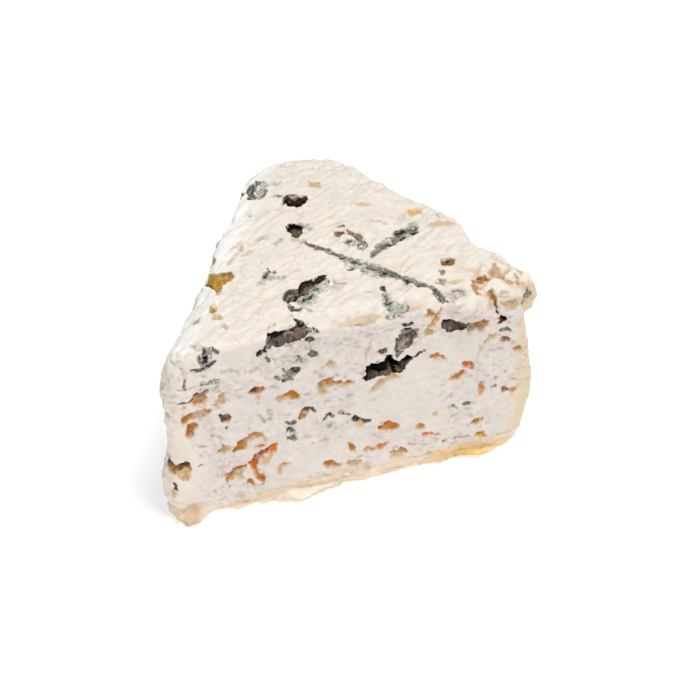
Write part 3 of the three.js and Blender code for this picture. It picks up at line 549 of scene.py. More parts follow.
# Marks on the top, as places along the broad cut and behind it.
TOP_MARKS = (
    # the two needle tracks
    ("frost", 0.85, 0.5, 3.0, ((52.8, 34.0), (55.4, 30.8), (60.4, 25.0), (65.9, 18.0), (70.4, 11.6),
        (74.0, 7.6))),
    ("frost", 0.9, 0.3, 5.6, ((58.6, 26.4), (60.6, 24.0), (62.8, 21.4), (65.4, 17.4))),
    ("frost", 0.9, 0.8, 4.6, ((66.2, 27.9), (69.0, 29.8), (73.3, 32.0), (77.6, 34.4), (81.2, 36.6))),
    ("umber", 0.9, 0.8, 1.5, ((49.0, 38.6), (51.6, 35.2), (53.9, 33.0))),
    ("lining", 0.9, 0.8, 0.9, ((49.6, 38.2), (51.8, 35.8), (54.4, 32.9))),
    ("green", 0.8, 1.2, 1.6, ((53.9, 33.0), (56.4, 30.0), (58.8, 27.1), (60.6, 24.6))),
    ("green", 0.9, 0.8, 0.8, ((54.4, 32.4), (56.4, 30.0), (58.6, 27.4))),
    ("soot", 0.8, 0.8, 1.0, ((57.0, 23.2), (58.2, 22.8))),
    ("green", 0.85, 1.4, 2.2, ((62.3, 22.2), (64.3, 20.0), (66.7, 16.7), (68.9, 14.4))),
    ("soot", 0.7, 1.4, 0.9, ((63.2, 21.6), (64.6, 19.4), (66.4, 17.2))),
    ("soot", 0.8, 0.8, 1.0, ((64.2, 17.0), (65.2, 16.6))),
    ("green", 0.9, 1.3, 1.8, ((68.4, 15.0), (69.4, 13.2), (70.4, 11.3), (72.0, 9.4))),
    ("soot", 0.7, 1.4, 0.6, ((68.8, 14.4), (70.6, 11.0))),
    ("green", 0.7, 0.8, 1.9, ((71.3, 10.0), (73.1, 7.9), (74.4, 6.9))),
    ("soot", 0.85, 1.2, 1.6, ((74.6, 7.0), (75.4, 5.6))),
    ("green", 0.8, 1.2, 3.2, ((75.0, 5.6), (75.8, 2.1), (77.0, -0.8))),
    ("soot", 0.7, 1.0, 0.8, ((75.0, 3.6), (75.8, 1.0), (77.4, -1.0))),
    ("grey", 0.7, 1.0, 2.2, ((64.8, 26.6), (67.2, 28.4), (69.3, 29.2))),
    ("green", 0.95, 1.6, 2.8, ((68.5, 29.5), (71.5, 30.6), (74.0, 31.6), (76.5, 32.8))),
    ("green", 0.95, 1.6, 3.0, ((75.8, 34.5), (78.0, 35.0), (80.2, 35.4), (81.2, 36.8))),
    ("soot", 0.9, 1.8, 1.5, ((75.6, 35.5), (77.8, 35.4), (79.2, 34.3), (80.6, 33.6))),
    ("soot", 0.85, 1.6, 1.2, ((72.9, 31.1), (75.1, 32.0), (76.7, 32.5))),
    ("soot", 0.7, 1.2, 0.9, ((68.5, 29.5), (69.9, 29.6))),
    ("frost", 0.7, 0.3, 2.6, ((80.4, 38.6), (82.4, 37.6))),
    # the veins behind the tracks
    ("brown", 0.8, 1.1, 1.8, ((59.4, 40.8), (60.4, 39.6), (61.2, 38.8))),
    ("blue", 0.6, 0.4, 1.2, ((60.5, 42.7), (62.1, 43.1), (62.6, 41.0))),
    ("moss", 0.7, 1.4, 2.0, ((62.6, 40.0), (63.2, 38.0), (64.1, 36.4), (64.5, 34.2))),
    ("soot", 0.9, 1.2, 0.9, ((63.0, 37.2), (63.9, 35.6))),
    ("grey", 0.8, 0.8, 1.3, ((64.6, 34.2), (64.9, 32.4), (64.2, 31.0), (62.8, 31.6))),
    ("frost", 0.85, 0.4, 3.4, ((60.6, 34.6), (63.4, 33.0))),
    ("soot", 0.8, 0.6, 0.9, ((60.2, 34.7), (61.6, 34.8))),
    # round the trough
    ("frost", 1.0, -0.9, 3.8, ((39.8, 11.4), (42.3, 13.4), (44.6, 15.3), (47.1, 17.5), (49.2, 20.2))),
    ("green", 0.6, 0.3, 0.7, ((44.4, 15.8), (46.0, 16.2))),
    ("blue", 0.5, -0.3, 2.6, ((41.0, 10.4), (44.8, 13.4))),
    ("soot", 0.6, 0.1, 0.6, ((41.6, 12.4), (43.4, 14.2))),
    ("green", 1.0, 1.8, 1.8, ((36.4, 10.8), (36.7, 9.6), (37.7, 8.8), (38.8, 9.2))),
    ("green", 0.9, 1.2, 1.0, ((36.2, 12.0), (36.0, 14.4), (36.6, 16.9), (38.2, 18.4), (40.4, 18.2))),
    ("soot", 0.6, 0.3, 0.7, ((40.2, 11.4), (41.0, 11.9))),
    ("blue", 0.45, 0.1, 3.0, ((47.4, 16.4), (52.0, 16.4))),
    ("green", 0.9, 0.9, 1.8, ((34.2, 26.4), (35.6, 28.0), (37.0, 27.6))),
    ("green", 0.55, 0.4, 2.0, ((31.6, 23.6), (34.6, 25.6), (38.8, 25.2))),
    ("soot", 0.8, 0.5, 0.6, ((35.8, 27.8), (36.0, 29.6))),
    ("grey", 0.55, 0.3, 0.8, ((51.6, 19.4), (52.1, 17.7), (54.0, 17.0))),
    ("grey", 0.5, 0.3, 0.7, ((59.8, 20.1), (61.9, 17.8), (63.4, 15.8))),
    # round the black pocket and out to the corner
    ("blue", 0.5, 0.3, 3.0, ((51.6, 48.0), (53.0, 44.6))),
    ("blue", 0.45, 0.3, 2.4, ((46.6, 41.6), (49.0, 40.0))),
    ("grey", 0.5, 0.3, 1.6, ((41.4, 40.6), (43.6, 42.4))),
    ("grey", 0.6, 0.5, 1.0, ((39.2, 57.3), (39.4, 58.1))),
    ("green", 0.6, 0.6, 1.6, ((48.6, 65.2), (50.8, 64.4))),
    ("frost", 0.85, 0.5, 5.0, ((44.6, 66.2), (45.6, 69.6), (47.6, 72.4))),
    ("lining", 1.0, 1.8, 2.2, ((42.6, 66.6), (42.4, 69.2), (43.8, 71.8), (45.8, 73.8))),
    ("soot", 1.0, 1.6, 1.2, ((41.6, 65.8), (42.0, 67.4))),
    ("soot", 0.8, 1.2, 0.7, ((43.4, 69.8), (44.8, 72.0), (46.8, 73.6))),
    ("grey", 0.7, 0.6, 0.9, ((44.0, 64.6), (45.8, 66.0), (47.4, 69.0))),
    ("grey", 0.5, 0.4, 1.1, ((49.6, 71.4), (52.6, 71.8))),
    # hollows and scrapes of the level cut
    ("olive", 0.9, 1.6, 1.2, ((16.4, 15.0), (17.2, 18.4))),
    ("olive", 0.7, 0.7, 1.6, ((11.0, 12.6), (12.4, 13.6))),
    ("tan", 0.8, 0.9, 1.8, ((15.8, 12.2), (17.6, 13.2))),
    ("grey", 0.5, 0.5, 0.6, ((17.4, 9.6), (18.0, 7.4))),
    ("grey", 0.55, 0.4, 1.3, ((7.4, 3.6), (9.0, 2.6), (11.2, 1.2))),
    ("soot", 0.95, 0.7, 1.4, ((35.7, 4.4), (37.0, 3.2), (37.6, 1.2))),
    ("grey", 0.6, 0.3, 0.9, ((35.6, 6.6), (35.9, 6.2))),
    ("green", 0.55, 0.4, 1.0, ((39.8, 8.8), (41.2, 7.2))),
    ("tan", 0.1, 0.8, 0.9, ((29.2, 42.4), (31.0, 44.0), (32.8, 45.8))),
    ("bark", 0.4, 0.6, 0.7, ((31.4, 41.4), (32.8, 43.2))),
    ("tan", 0.1, 0.7, 0.8, ((26.4, 36.2), (28.4, 38.4), (30.4, 40.2))),
    ("tan", 0.1, 0.4, 0.7, ((31.6, 38.6), (35.0, 40.6))),
    ("grey", 0.5, 0.4, 1.2, ((37.4, 44.6), (41.0, 45.8))),
    ("grey", 0.5, 0.3, 1.4, ((58.2, 12.4), (58.8, 11.6))),
    ("soot", 1.0, 1.6, 1.0, ((62.6, 12.2), (62.6, 10.2))),
    ("frost", 0.85, 0.4, 3.0, ((62.6, 8.6), (61.6, 5.4), (61.6, 2.6), (61.0, 0.4))),
    ("green", 0.8, 0.5, 0.8, ((62.4, 8.0), (61.5, 5.4), (61.2, 2.4), (60.6, 0.4))),
    ("soot", 0.85, 0.9, 1.6, ((61.4, 4.4), (62.8, 4.2))),
    ("frost", 0.7, 0.3, 3.4, ((61.0, 1.4), (63.4, 2.4), (65.2, 1.4))),
    ("olive", 0.9, 2.0, 2.4, ((82.0, 16.4), (83.6, 17.6), (85.0, 17.8))),
    ("brown", 0.7, 1.2, 0.9, ((82.2, 17.4), (83.8, 18.2), (84.8, 17.6))),
    ("ash", 0.7, 0.9, 1.8, ((79.6, 11.6), (80.4, 13.2))),
    ("brown", 0.5, 1.0, 2.2, ((77.2, 8.6), (79.4, 8.8))),
    ("yellow", 0.55, 0.8, 3.4, ((83.4, 45.6), (85.6, 43.4))),
    ("frost", 0.5, 0.3, 1.8, ((89.0, 40.8), (90.4, 40.0))),
    ("yellow", 0.25, 0.5, 2.2, ((85.4, 35.6), (88.4, 35.4), (92.0, 34.4))),
    ("olive", 0.4, 0.4, 2.6, ((60.6, 67.4), (63.2, 68.4))),
    ("yellow", 0.2, 0.6, 1.8, ((69.6, 53.4), (71.4, 52.4), (73.2, 52.2))),
    ("tan", 0.5, 0.4, 0.6, ((70.6, 43.6), (73.6, 40.2))),
    # clefts of the breaking corner
    ("honey", 0.9, 1.8, 3.0, ((88.4, 5.2), (89.6, 6.0), (90.0, 7.0))),
    ("bark", 0.5, 0.8, 3.6, ((94.6, 10.4), (93.6, 7.0), (92.2, 5.4))),
    ("honey", 0.7, 1.2, 1.4, ((93.2, 8.4), (92.4, 6.0))),
    ("honey", 0.9, 1.3, 1.1, ((86.6, 6.6), (85.6, 3.3), (85.6, 0.8), (86.6, -0.9))),
    ("honey", 0.95, 1.8, 1.1, ((87.0, -0.7), (88.8, -1.2), (88.6, -3.2), (87.5, -6.1))),
    ("brown", 0.7, 1.8, 0.9, ((88.4, -3.2), (87.5, -6.1), (86.7, -8.7))),
    ("honey", 0.5, 0.6, 2.6, ((89.1, -5.8), (90.9, -6.9), (92.8, -6.6), (94.8, -5.7))),
    ("bark", 0.4, 0.5, 0.8, ((89.6, -2.1), (91.4, -1.2), (93.3, -2.0))),
    ("bark", 0.3, 0.5, 0.7, ((93.1, -3.6), (91.0, -4.0), (89.5, -4.9))),
    ("honey", 0.6, 0.8, 1.0, ((98.1, 5.8), (97.9, 3.0), (97.2, 0.4))),
    ("honey", 0.5, 0.8, 1.0, ((99.4, 7.2), (99.9, 4.4))),
    ("tan", 0.4, 0.4, 1.4, ((95.4, 3.6), (95.8, 1.2))),
    ("ash", 0.5, 0.4, 6.0, ((78.2, 2.8), (81.0, 2.2))),
    ("lining", 0.6, 0.4, 0.6, ((78.8, 4.0), (80.8, 3.4), (81.6, 1.2))),
    ("bark", 0.45, 0.4, 1.6, ((74.6, -2.6), (76.6, -3.4), (79.2, -2.8))),
    ("yellow", 0.3, 0.5, 1.2, ((79.3, 8.0), (81.4, 7.3), (84.0, 7.0))),
)

TOP_POCKETS = (
    ("grey", 2.6, (-0.7, 1.2), (
        (36.2, 12.2), (36.0, 15.0), (36.8, 17.1), (38.0, 18.3), (39.5, 18.8), (41.4, 17.6), (40.2, 15.5),
        (39.1, 13.9), (37.7, 12.9))),
    ("umber", 4.0, (-0.3, 0.9), (
        (41.4, 18.6), (43.0, 21.0), (45.6, 21.8), (47.8, 22.7), (50.3, 22.5), (49.4, 20.6), (47.6, 18.6),
        (46.2, 18.0), (44.3, 17.4), (42.2, 15.4), (40.0, 13.4), (37.9, 11.9), (37.2, 12.8), (38.1, 14.1),
        (39.2, 15.6), (40.3, 17.0))),
    ("lining", 2.4, (-0.3, 2.0), (
        (46.9, 48.4), (48.7, 49.4), (50.1, 48.4), (51.7, 47.8), (51.8, 46.1), (50.5, 44.9), (49.5, 43.6),
        (48.2, 41.4), (47.7, 42.6), (47.2, 43.9), (46.9, 46.7))),
    ("moss", 5.0, (2.0, 5.2), (
        (50.4, 61.6), (50.8, 63.8), (52.6, 64.6), (55.2, 63.4), (57.6, 62.6), (57.2, 60.6), (55.6, 57.8),
        (53.5, 56.2), (53.2, 58.0), (51.6, 58.6))),
    ("olive", 3.6, (0.0, 0.5), (
        (18.0, 30.4), (18.4, 33.6), (20.6, 35.4), (23.1, 33.4), (26.5, 32.0), (26.3, 29.7), (24.6, 27.8),
        (22.9, 26.4), (21.2, 24.5), (19.8, 22.0), (19.6, 25.5), (19.0, 27.7))),
    ("grey", 4.2, (0.0, 0.2), (
        (29.0, -3.0), (30.4, -0.6), (31.9, 0.5), (33.7, 2.4), (35.5, 3.6), (36.6, 3.4), (37.2, 1.6),
        (38.0, -0.2), (38.4, -3.0))),
)


# The left cut and the rind are marked by the same hand: short veins and torn hollows over a jittered grid.
def scattered_marks(seed, across, spacing, finishes, most_depth):
    """Marks like those of the broad cut, one for each square of the grid, a little off its middle."""
    random = np.random.default_rng(seed)
    marks = []
    for u in np.arange(across[0], across[1], spacing):
        for v in np.arange(8, HEIGHT - 5, spacing * 0.8):
            finish, cover, depth = finishes[random.integers(len(finishes))]
            start = np.array([u, v]) + random.uniform(-0.5, 0.5, 2) * spacing
            lean = random.normal(0, 0.45)
            step = random.uniform(0.8, 3.6) * np.array([math.cos(lean), math.sin(lean)])
            bend = random.uniform(-0.6, 0.6, 2)
            run = (tuple(start - step), tuple(start + bend), tuple(start + step))
            width = random.uniform(0.8, 2.4)
            marks.append((finish, cover, depth * most_depth * random.uniform(0.5, 1), width, run))
    return marks


CURD_FINISHES = (
    ("amber", 0.95, 1.0), ("amber", 0.85, 0.8), ("tan", 0.8, 0.7), ("orange", 0.9, 0.9),
    ("green", 0.85, 0.6), ("blue", 0.8, 0.5), ("soot", 0.95, 0.8), ("blue", 0.47, 0.15), ("lining", 0.9, 0.9),
)
RIND_FINISHES = (("grey", 0.5, 0.3), ("blue", 0.5, 0.2), ("tan", 0.6, 0.5), ("lining", 0.6, 0.6))
LEFT_MARKS = scattered_marks(11, (8, 98), 9.0, CURD_FINISHES, 2.0)
RIND_MARKS = scattered_marks(23, (6, 102), 12.0, RIND_FINISHES, 1.0)
LEFT_POCKETS = (
    ("lining", 4.5, (-0.3, 1.6), ((38, 33), (41, 36), (45, 35.4), (50, 37.2), (52, 34), (47, 32.2),
        (42, 31.6))),
    ("grey", 3.0, (-0.3, 0.9), ((68, 44), (70, 47.4), (74, 48), (76, 45), (72, 42.6))),
    ("lining", 3.0, (-0.3, 1.0), ((22, 18), (24, 20.6), (28, 20), (29, 17.6), (25, 16.4))),
)


def follow(u, v, run):
    """Where the nearest place of a run lies: how far across, how far below, and the share of the way along."""
    lengths = [math.dist(start, end) for start, end in zip(run[:-1], run[1:])]
    nearest = np.full(len(u), 1e9)
    across, above, share = np.zeros((3, len(u)))
    done = 0.0
    for (au, av), (bu, bv), length in zip(run[:-1], run[1:], lengths):
        du, dv = bu - au, bv - av
        t = np.clip(((u - au) * du + (v - av) * dv) / (length * length + 1e-9), 0, 1)
        off_u, off_v = u - au - t * du, v - av - t * dv
        away = np.hypot(off_u, off_v)
        closer = away < nearest
        nearest[closer] = away[closer]
        across[closer] = off_u[closer]
        above[closer] = off_v[closer]
        share[closer] = (done + t[closer] * length) / sum(lengths)
        done += length
    return across, above, share


def rim_distance(u, v, rim):
    """Distance in millimetres from a closed rim, below 0 inside it."""
    inside = np.zeros(len(u), bool)
    nearest = np.full(len(u), 1e9)
    for (au, av), (bu, bv) in zip(rim, rim[1:] + rim[:1]):
        du, dv = bu - au, bv - av
        t = np.clip(((u - au) * du + (v - av) * dv) / (du * du + dv * dv), 0, 1)
        nearest = np.minimum(nearest, np.hypot(u - au - t * du, v - av - t * dv))
        if dv:
            crosses = ((av > v) != (bv > v)) & (u < du * (v - av) / dv + au)
            inside ^= crosses
    return np.where(inside, -nearest, nearest)


def mix(colours, others, share):
    """Each point's colour, turned towards the other colour by its share."""
    share = share[:, None]
    return colours * (1 - share) + others * share


RIM_LIFT = 0.22  # how far the torn curd stands up round a hollow
UNDERCUT = 0.35  # how far a hollow runs up under its upper rim, for each millimetre that it goes in
WAXY_FINISHES = ("olive", "moss", "tan")  # pockets with smooth walls
OPEN_TOP = 0.6  # this far under the level cut, the broad cut's pockets end
# Where a pocket's painted shadow falls: the light from the front and above shifts this far across and up a face
# for each millimetre that it goes in.
LIGHT_FALL = {"broad": (0.35, -0.8), "top": (0.43, 1.26), "left": (0, -0.8), "rind": (0, -0.8)}


def read_marks(points, face, place, marks, pockets, reach_in):
    """How deep each point is opened, how far its curd stands up, and two stains with how much each covers the
    point: what soaks in softly, with the painted glow and painted shade of the hollows, then what lies on it
    with a crisp edge, the mould and the pockets' linings with their painted shadow. A point that lies further
    inside the face than a mark's depth plus reach_in isn't touched by it."""
    u, v, inside, _ = place
    fall_across, fall_up = (shift * np.clip(inside - 0.4, 0, 8) for shift in LIGHT_FALL[face])
    stray = 0.26 * hills(points, 2.6, 3) + 0.2 * hills(points, 1.0, 4)
    rise = 0.26 * hills(points, 2.6, 6) + 0.2 * hills(points, 1.0, 7)
    lit_u, lit_v = u - fall_across + stray, v - fall_up + rise
    v = v - UNDERCUT * np.clip(inside - 0.4, 0, 6)
    u, v = u + stray, v + rise
    wobble = hills(points, 1.7, 8)
    mottle = hills(points, 0.9, 9)
    flecks = hills(points, 0.6, 10)
    depth, lift, soak_glow_and_shade, covered = np.zeros((4, len(u)))
    soft_tint, crisp_tint = (np.tile(FINISHES["paste"], (len(u), 1)) for _ in range(2))
    shapes = [(finish, 1.0, deep, shadow, rim) for finish, deep, shadow, rim in pockets] + list(marks)
    for finish, covering, deep, width, run in shapes:
        ends = np.array(run)
        low, high = ends.min(0) - 4, ends.max(0) + 4
        near = np.flatnonzero((u > low[0]) & (u < high[0]) & (v > low[1]) & (v < high[1]))
        near = near[inside[near] < abs(deep) + reach_in]
        pocket = isinstance(width, tuple)
        if pocket and face == "broad":
            near = near[(points[near, 2] < HEIGHT - OPEN_TOP) | (inside[near] < 1.5)]
        if not len(near):
            continue
        mould = finish in MOULDS and not pocket
        if pocket:
            jagged = 0.15 * mottle[near] + 0.16 * flecks[near]
            edge = rim_distance(u[near], v[near], run) + jagged
            # Painted shadow: the lining is painted in shadow where the rim hides it from the light from the
            # front and above.
            fall = rim_distance(lit_u[near] + width[0], lit_v[near] + width[1], run)
            shadow = ease(fall + 0.25 * mottle[near], -0.7, 0.2)
            bowl = np.clip(-edge / 0.6, 0, 1) * (0.4 + 0.6 * shadow) * (1 + 0.1 * mottle[near])
            share = ease(edge, 0.25, -0.1)
            # The colour of the painted shadow: nearly black in a mould's lining, the finish itself darkened in
            # the others.
            shadow_colour = FINISHES["soot"] * 0.1 if finish in MOULDS else FINISHES[finish] * (0.2, 0.15, 0.1)
            speckled = 1.35 + 0.8 * mottle[near] + 0.3 * wobble[near] + 0.7 * flecks[near]
            # The lining is also a little darker next to the rim.
            speckled = speckled.clip(0.25) * (1 - 0.4 * ease(edge, -0.6, -0.1))
            waxy = finish in WAXY_FINISHES
            if waxy:
                speckled = (0.45 if finish == "moss" else 1) + 0.2 * mottle[near]
            tint = mix(FINISHES[finish] * speckled[:, None], shadow_colour, shadow)
            if waxy:
                tint = mix(FINISHES["moss" if finish == "moss" else "tan"], tint, ease(edge, 0.0, -1.3))
        else:
            across, above, along = follow(u[near], v[near], run)
            taper = 0.3 if mould else 0.55
            half = width / 2 * (1 - taper + taper * np.sin(math.pi * along)) * (1 + 0.3 * wobble[near])
            half *= 1.1 if mould else 1.4
            above = np.where(above < 0, above * (0.9 if mould else 0.65), above)
            torn_edge = 1.0 if mould else 1.7
            edge = np.hypot(across, above) - half + torn_edge * (0.16 * mottle[near] + 0.1 * flecks[near])
        if mould:
            bowl = ease(edge, 0, -half) * (0.75 + 0.6 * wobble[near])
            hazy = covering <= HAZE
            uneven = 0.25 if finish == "soot" or hazy else 0.5
            patchy = 1 + uneven * (mottle[near] + flecks[near])
            share = covering * ease(edge, 1.3 if hazy else 0.5, -0.5 * half) * patchy
            core = (ease(edge, 0.3, -0.6 * half) * (1 - 0.5 * mottle[near] - 0.4 * flecks[near])).clip(0, 1)
            core *= 0.55 if hazy else 1
            tint = mix(FINISHES["paste"] * (0.68 if hazy else 0.55), FINISHES[finish], core)
            if finish == "frost":
                specks = ease(flecks[near] + 0.6 * mottle[near], 0.35, 0.9)
                tint = mix(FINISHES["frost"], FINISHES["blue"], specks)
            if hazy:
                share *= 1 - ease(covered[near], 0.3, 0.7)
        elif not pocket:
            # Painted glow and shade: a hollow is painted warmest towards its upper rim, where light glowing
            # through the curd and the shade under the rim are painted in, and paler down its lower slope.
            slope = np.clip(0.5 + 0.5 * above / half, 0, 1)
            bowl = np.clip(-edge / 0.5, 0, 1) * (0.15 + 0.85 * slope)
            below = 1 - slope
            share = (0.6 + 0.4 * covering) * ease(edge, 0.12 + 0.4 * below, -0.15 - 0.8 * half * below)
            rich = 1.2 * covering * ease(share, 0.25, 0.85) * (1 - 0.35 * mottle[near] - 0.35 * flecks[near])
            rich = rich.clip(0, 1)
            # A band of painted shade right under the upper rim.
            brink = ease(above, 0.35 * half, 0.85 * half) * ease(edge, 0.2, -0.1) * min(1, abs(deep) / 1.6)
            dark = (brink * (1 + 0.3 * flecks[near])).clip(0, 1)[:, None] * (0.55, 0.66, 0.76)
            tint = mix(FINISHES["tan"], FINISHES[finish], rich) * (1 - dark)
        if deep > 0:
            depth[near] = np.maximum(depth[near], deep * bowl * (1.0 if mould or pocket else 1.3))
            rim = RIM_LIFT * min(1, deep) * np.exp(-(((edge - 0.35) / 0.35) ** 2)) * (covering > HAZE)
            lift[near] = np.maximum(lift[near], rim)
        else:
            lift[near] = np.maximum(lift[near], -deep * bowl)
        colours, share_so_far = (crisp_tint, covered) if mould or pocket else (soft_tint, soak_glow_and_shade)
        if not (mould or pocket):
            crisp_tint[near] = mix(crisp_tint[near], tint, share)
        colours[near] = mix(colours[near], tint, ease(share, 0.02, 0.3))
        share_so_far[near] = np.maximum(share_so_far[near], share)
    return depth, lift, (soft_tint, soak_glow_and_shade), (crisp_tint, covered)


FACES = {
    "broad": (BROAD_MARKS, BROAD_POCKETS),
    "top": (TOP_MARKS, TOP_POCKETS),
    "left": (LEFT_MARKS, LEFT_POCKETS),
    "rind": (RIND_MARKS, ()),
}

# The base rind: three thin sheets under the whole wedge. They thin out towards the nose, and along the broad
# cut the lowest is torn into flakes, each with a middle, a length and a reach.
BASE_FLAKES = ((14, 16, 2.8), (34, 15, 2.4), (56, 10, 1.2), (73, 9, 0.9), (89, 14, 1.6))
SHEET_PLACES = (0, 10, 20, 36, 60, 80, 98)
SHEET_TOPS = (1.2, 1.4, 3.0, 5.2, 4.6, 4.4, 5.6)
NOSE_FLAKE = {"at": (3.6, 0.4), "wide": 7.5, "out": 4.2, "thick": 2.6}  # at the foot of the nose
SHEETS = ((1.0, 0.15), (0.64, 0.35), (0.36, 0.45))  # its share of that height, and its step out


def sheet_heights(points):
    """How far above the first sheet's top edge each point is, as a share of that edge's height."""
    top = np.interp(points[:, 0], SHEET_PLACES, SHEET_TOPS)
    return (points[:, 2] + 0.45 * hills(points * (1, 1, 0.3), 6, 10)) / top


def base_layers(points, normals):
    """How far the base rind stands out sideways at each point."""
    x, y, z = points.T
    ragged = 0.5 * hills(points * (1, 1, 0.3), 3.6, 8) + 0.3 * hills(points, 1.4, 9)
    ragged += 1.0 * ease(hills(points * (1, 1, 0), 8, 11), 0.0, 0.15) - 0.4
    reach = sum(out * hump(x, middle, length / 2 + 1) for middle, length, out in BASE_FLAKES)
    at_cut = ease(-normals[:, 1], 0.3, 0.8)
    height = sheet_heights(points)
    out = sum(step * ease(height, share + 0.05, share - 0.05) for share, step in SHEETS)
    out += ease(height, 0.5, 0.4) * (reach * at_cut + ragged)
    return out * ease(1 - np.abs(normals[:, 2]), 0.2, 0.6)


# Open the curd. On the standing faces a hollow also runs up under its upper rim.
KNIFE_REACH = 12  # how uneven a face can be and still be opened by its own marks
curd = curd_points(cheese)
outward = curd_normals(cheese)
places = face_places(curd)
move = np.zeros_like(curd)
facing = {}
for face, (marks, pockets) in FACES.items():
    place = places[face]
    facing[face] = ease(-(outward * place[3]).sum(1), 0.35, 0.75)
    near = np.flatnonzero(facing[face] > 0)
    chosen = tuple(part[near] for part in place)
    depth, lift, _, _ = read_marks(curd[near], face, chosen, marks, pockets, KNIFE_REACH)
    way_in = place[3][near] + np.array((0, UNDERCUT, 0) if face == "top" else (0, 0, UNDERCUT))
    depth, lift = depth * facing[face][near], lift * facing[face][near]
    move[near] += way_in * depth[:, None] - place[3][near] * lift[:, None]
sideways = outward * (1, 1, 0)
sideways /= np.maximum(np.linalg.norm(sideways, axis=1), 1e-6)[:, None]
move += sideways * base_layers(curd, outward)[:, None]
from_flake = np.hypot(curd[:, 0] - NOSE_FLAKE["at"][0], curd[:, 1] - NOSE_FLAKE["at"][1])
flake = NOSE_FLAKE["out"] * hump(from_flake, 0, NOSE_FLAKE["wide"]) * (1 + 0.5 * hills(curd, 2.6, 12))
under_flake = ease(curd[:, 2], NOSE_FLAKE["thick"] + 0.8, NOSE_FLAKE["thick"] - 0.8)
move += np.outer(flake * under_flake, (-0.3, -0.95, 0))
opened = curd + move
put_curd(cheese, opened)
finish_with(cheese, "REMESH", mode="VOXEL", voxel_size=FINE_CURD * MM)
finish_with(cheese, "SMOOTH", factor=0.5, iterations=2)

# What soaks into the curd, with the hollows' painted glow and shade, and what lies on it, with the pockets'
# painted
# shadow: each one's colour, and how much it covers each point. A point takes the stains of the face that it was
# part of before the curd was opened.
STAIN_REACH = 1.6  # how far beyond a hollow's floor its stain goes
whole_curd = KDTree(len(opened))
for index, point in enumerate(opened):
    whole_curd.insert(point, index)
whole_curd.balance()
curd = curd_points(cheese)
outward = curd_normals(cheese)
came_from = np.array([whole_curd.find(point)[1] for point in curd])
places = face_places(curd)
soak_glow_and_shade_tint, stain_and_shadow = (np.tile(FINISHES["paste"], (len(curd), 1)) for _ in range(2))
soak_glow_and_shade, cover = np.zeros((2, len(curd)))
for face, (marks, pockets) in FACES.items():
    part_of_face = facing[face][came_from]
    near = np.flatnonzero(part_of_face > 0.02)
    chosen = tuple(part[near] for part in places[face])
    _, _, soft, crisp = read_marks(curd[near], face, chosen, marks, pockets, STAIN_REACH)
    for (tint, share), colours, so_far in ((soft, soak_glow_and_shade_tint, soak_glow_and_shade), (crisp, stain_and_shadow, cover)):
        share = share * ease(part_of_face[near], 0, 0.3)
        stronger = share > so_far[near]
        so_far[near[stronger]] = share[stronger]
        colours[near[stronger]] = tint[stronger]


# Tear, crumble and smear the surface.
def terrace(height, level, sharp=0.06):
    return ease(height, level - sharp, level + sharp)


def lumps(points, length, seed):
    """Rounded lumps with sharp creases between them, from 0 in a crease to about 1."""
    return np.abs(hills(points, length, seed)) ** 0.8


x, y, z = curd.T
up = ease(outward[:, 2], 0.3, 0.8)
along_smear = np.stack([x * 0.85 + y * 0.5, -x * 0.5 + y * 0.85, z], 1)
smooth_cut = ease(hills(curd, 13, 30), -0.1, 0.5)
rough = (1 - 0.75 * smooth_cut) * (1 - 0.5 * up)
torn = 0.36 * terrace(hills(curd, 6.0, 20), 0.12) + 0.3 * terrace(hills(curd, 3.6, 21), 0.2)
torn += 0.24 * terrace(hills(curd, 2.2, 22), 0.3) - 0.3
dents = -0.6 * ease(hills(curd * (1, 1, 1.6), 2.8, 23), 0.45, 0.95)
pores = -0.36 * terrace(hills(curd * (1, 1, 1.4), 1.25, 24), 0.75, 0.14)
grain = 0.07 * hills(curd, 1.0, 25) + 0.08 * hills(curd, 2.0, 26)
scoops = -0.65 * ease(hills(along_smear, 2.6, 33, (2.6, 1, 1)), 0.4, 0.9)
streaks = 0.14 * hills(along_smear, 1.5, 27, (8, 1, 3)) + 0.08 * hills(along_smear, 0.8, 28, (7, 1, 2))
crumbly = ease(hills(curd, 8, 37), 0.0, 0.5)
cracks = -0.5 * np.exp(-((hills(along_smear, 3.0, 38, (2.2, 1, 1)) / 0.1) ** 2)) * crumbly
smear_top = scoops + cracks + streaks * (0.5 + ease(hills(curd, 9, 34), -0.2, 0.5))
smear_side = 0.08 * hills(curd, 1.4, 29, (6, 6, 1))
corner = np.exp(-(((x - 94) / 11) ** 2 + ((y - 5) / 10) ** 2 + ((z - 55) / 8) ** 2))
creased = np.minimum(lumps(curd, 8.5, 31) * 1.6, 1.0) + 0.4 * np.minimum(lumps(curd, 3.0, 32), 0.8) - 0.8
broken = 1.3 * corner * creased
lip_line = 56.1 - 0.9 * hump(x, 50, 9)
lip_line = lip_line + 0.4 * hills(curd * (1, 0, 0), 5, 35) + 0.1 * hills(curd * (1, 0, 0), 1.5, 36)
at_lip = hump(x, 59, 25) * ease(y, 4, 2)
lip = at_lip * (0.6 * ease(z, lip_line, lip_line + 0.7) - 0.7 * np.exp(-(((z - lip_line + 0.2) / 0.35) ** 2)))
fine = lip + (torn + dents + pores) * rough + grain + smear_top * up + smear_side * (1 - up) + broken
fine *= ease(z, 0.2, 1.2) * ease(outward[:, 2], -0.95, -0.6)
put_curd(cheese, curd + outward * fine[:, None])

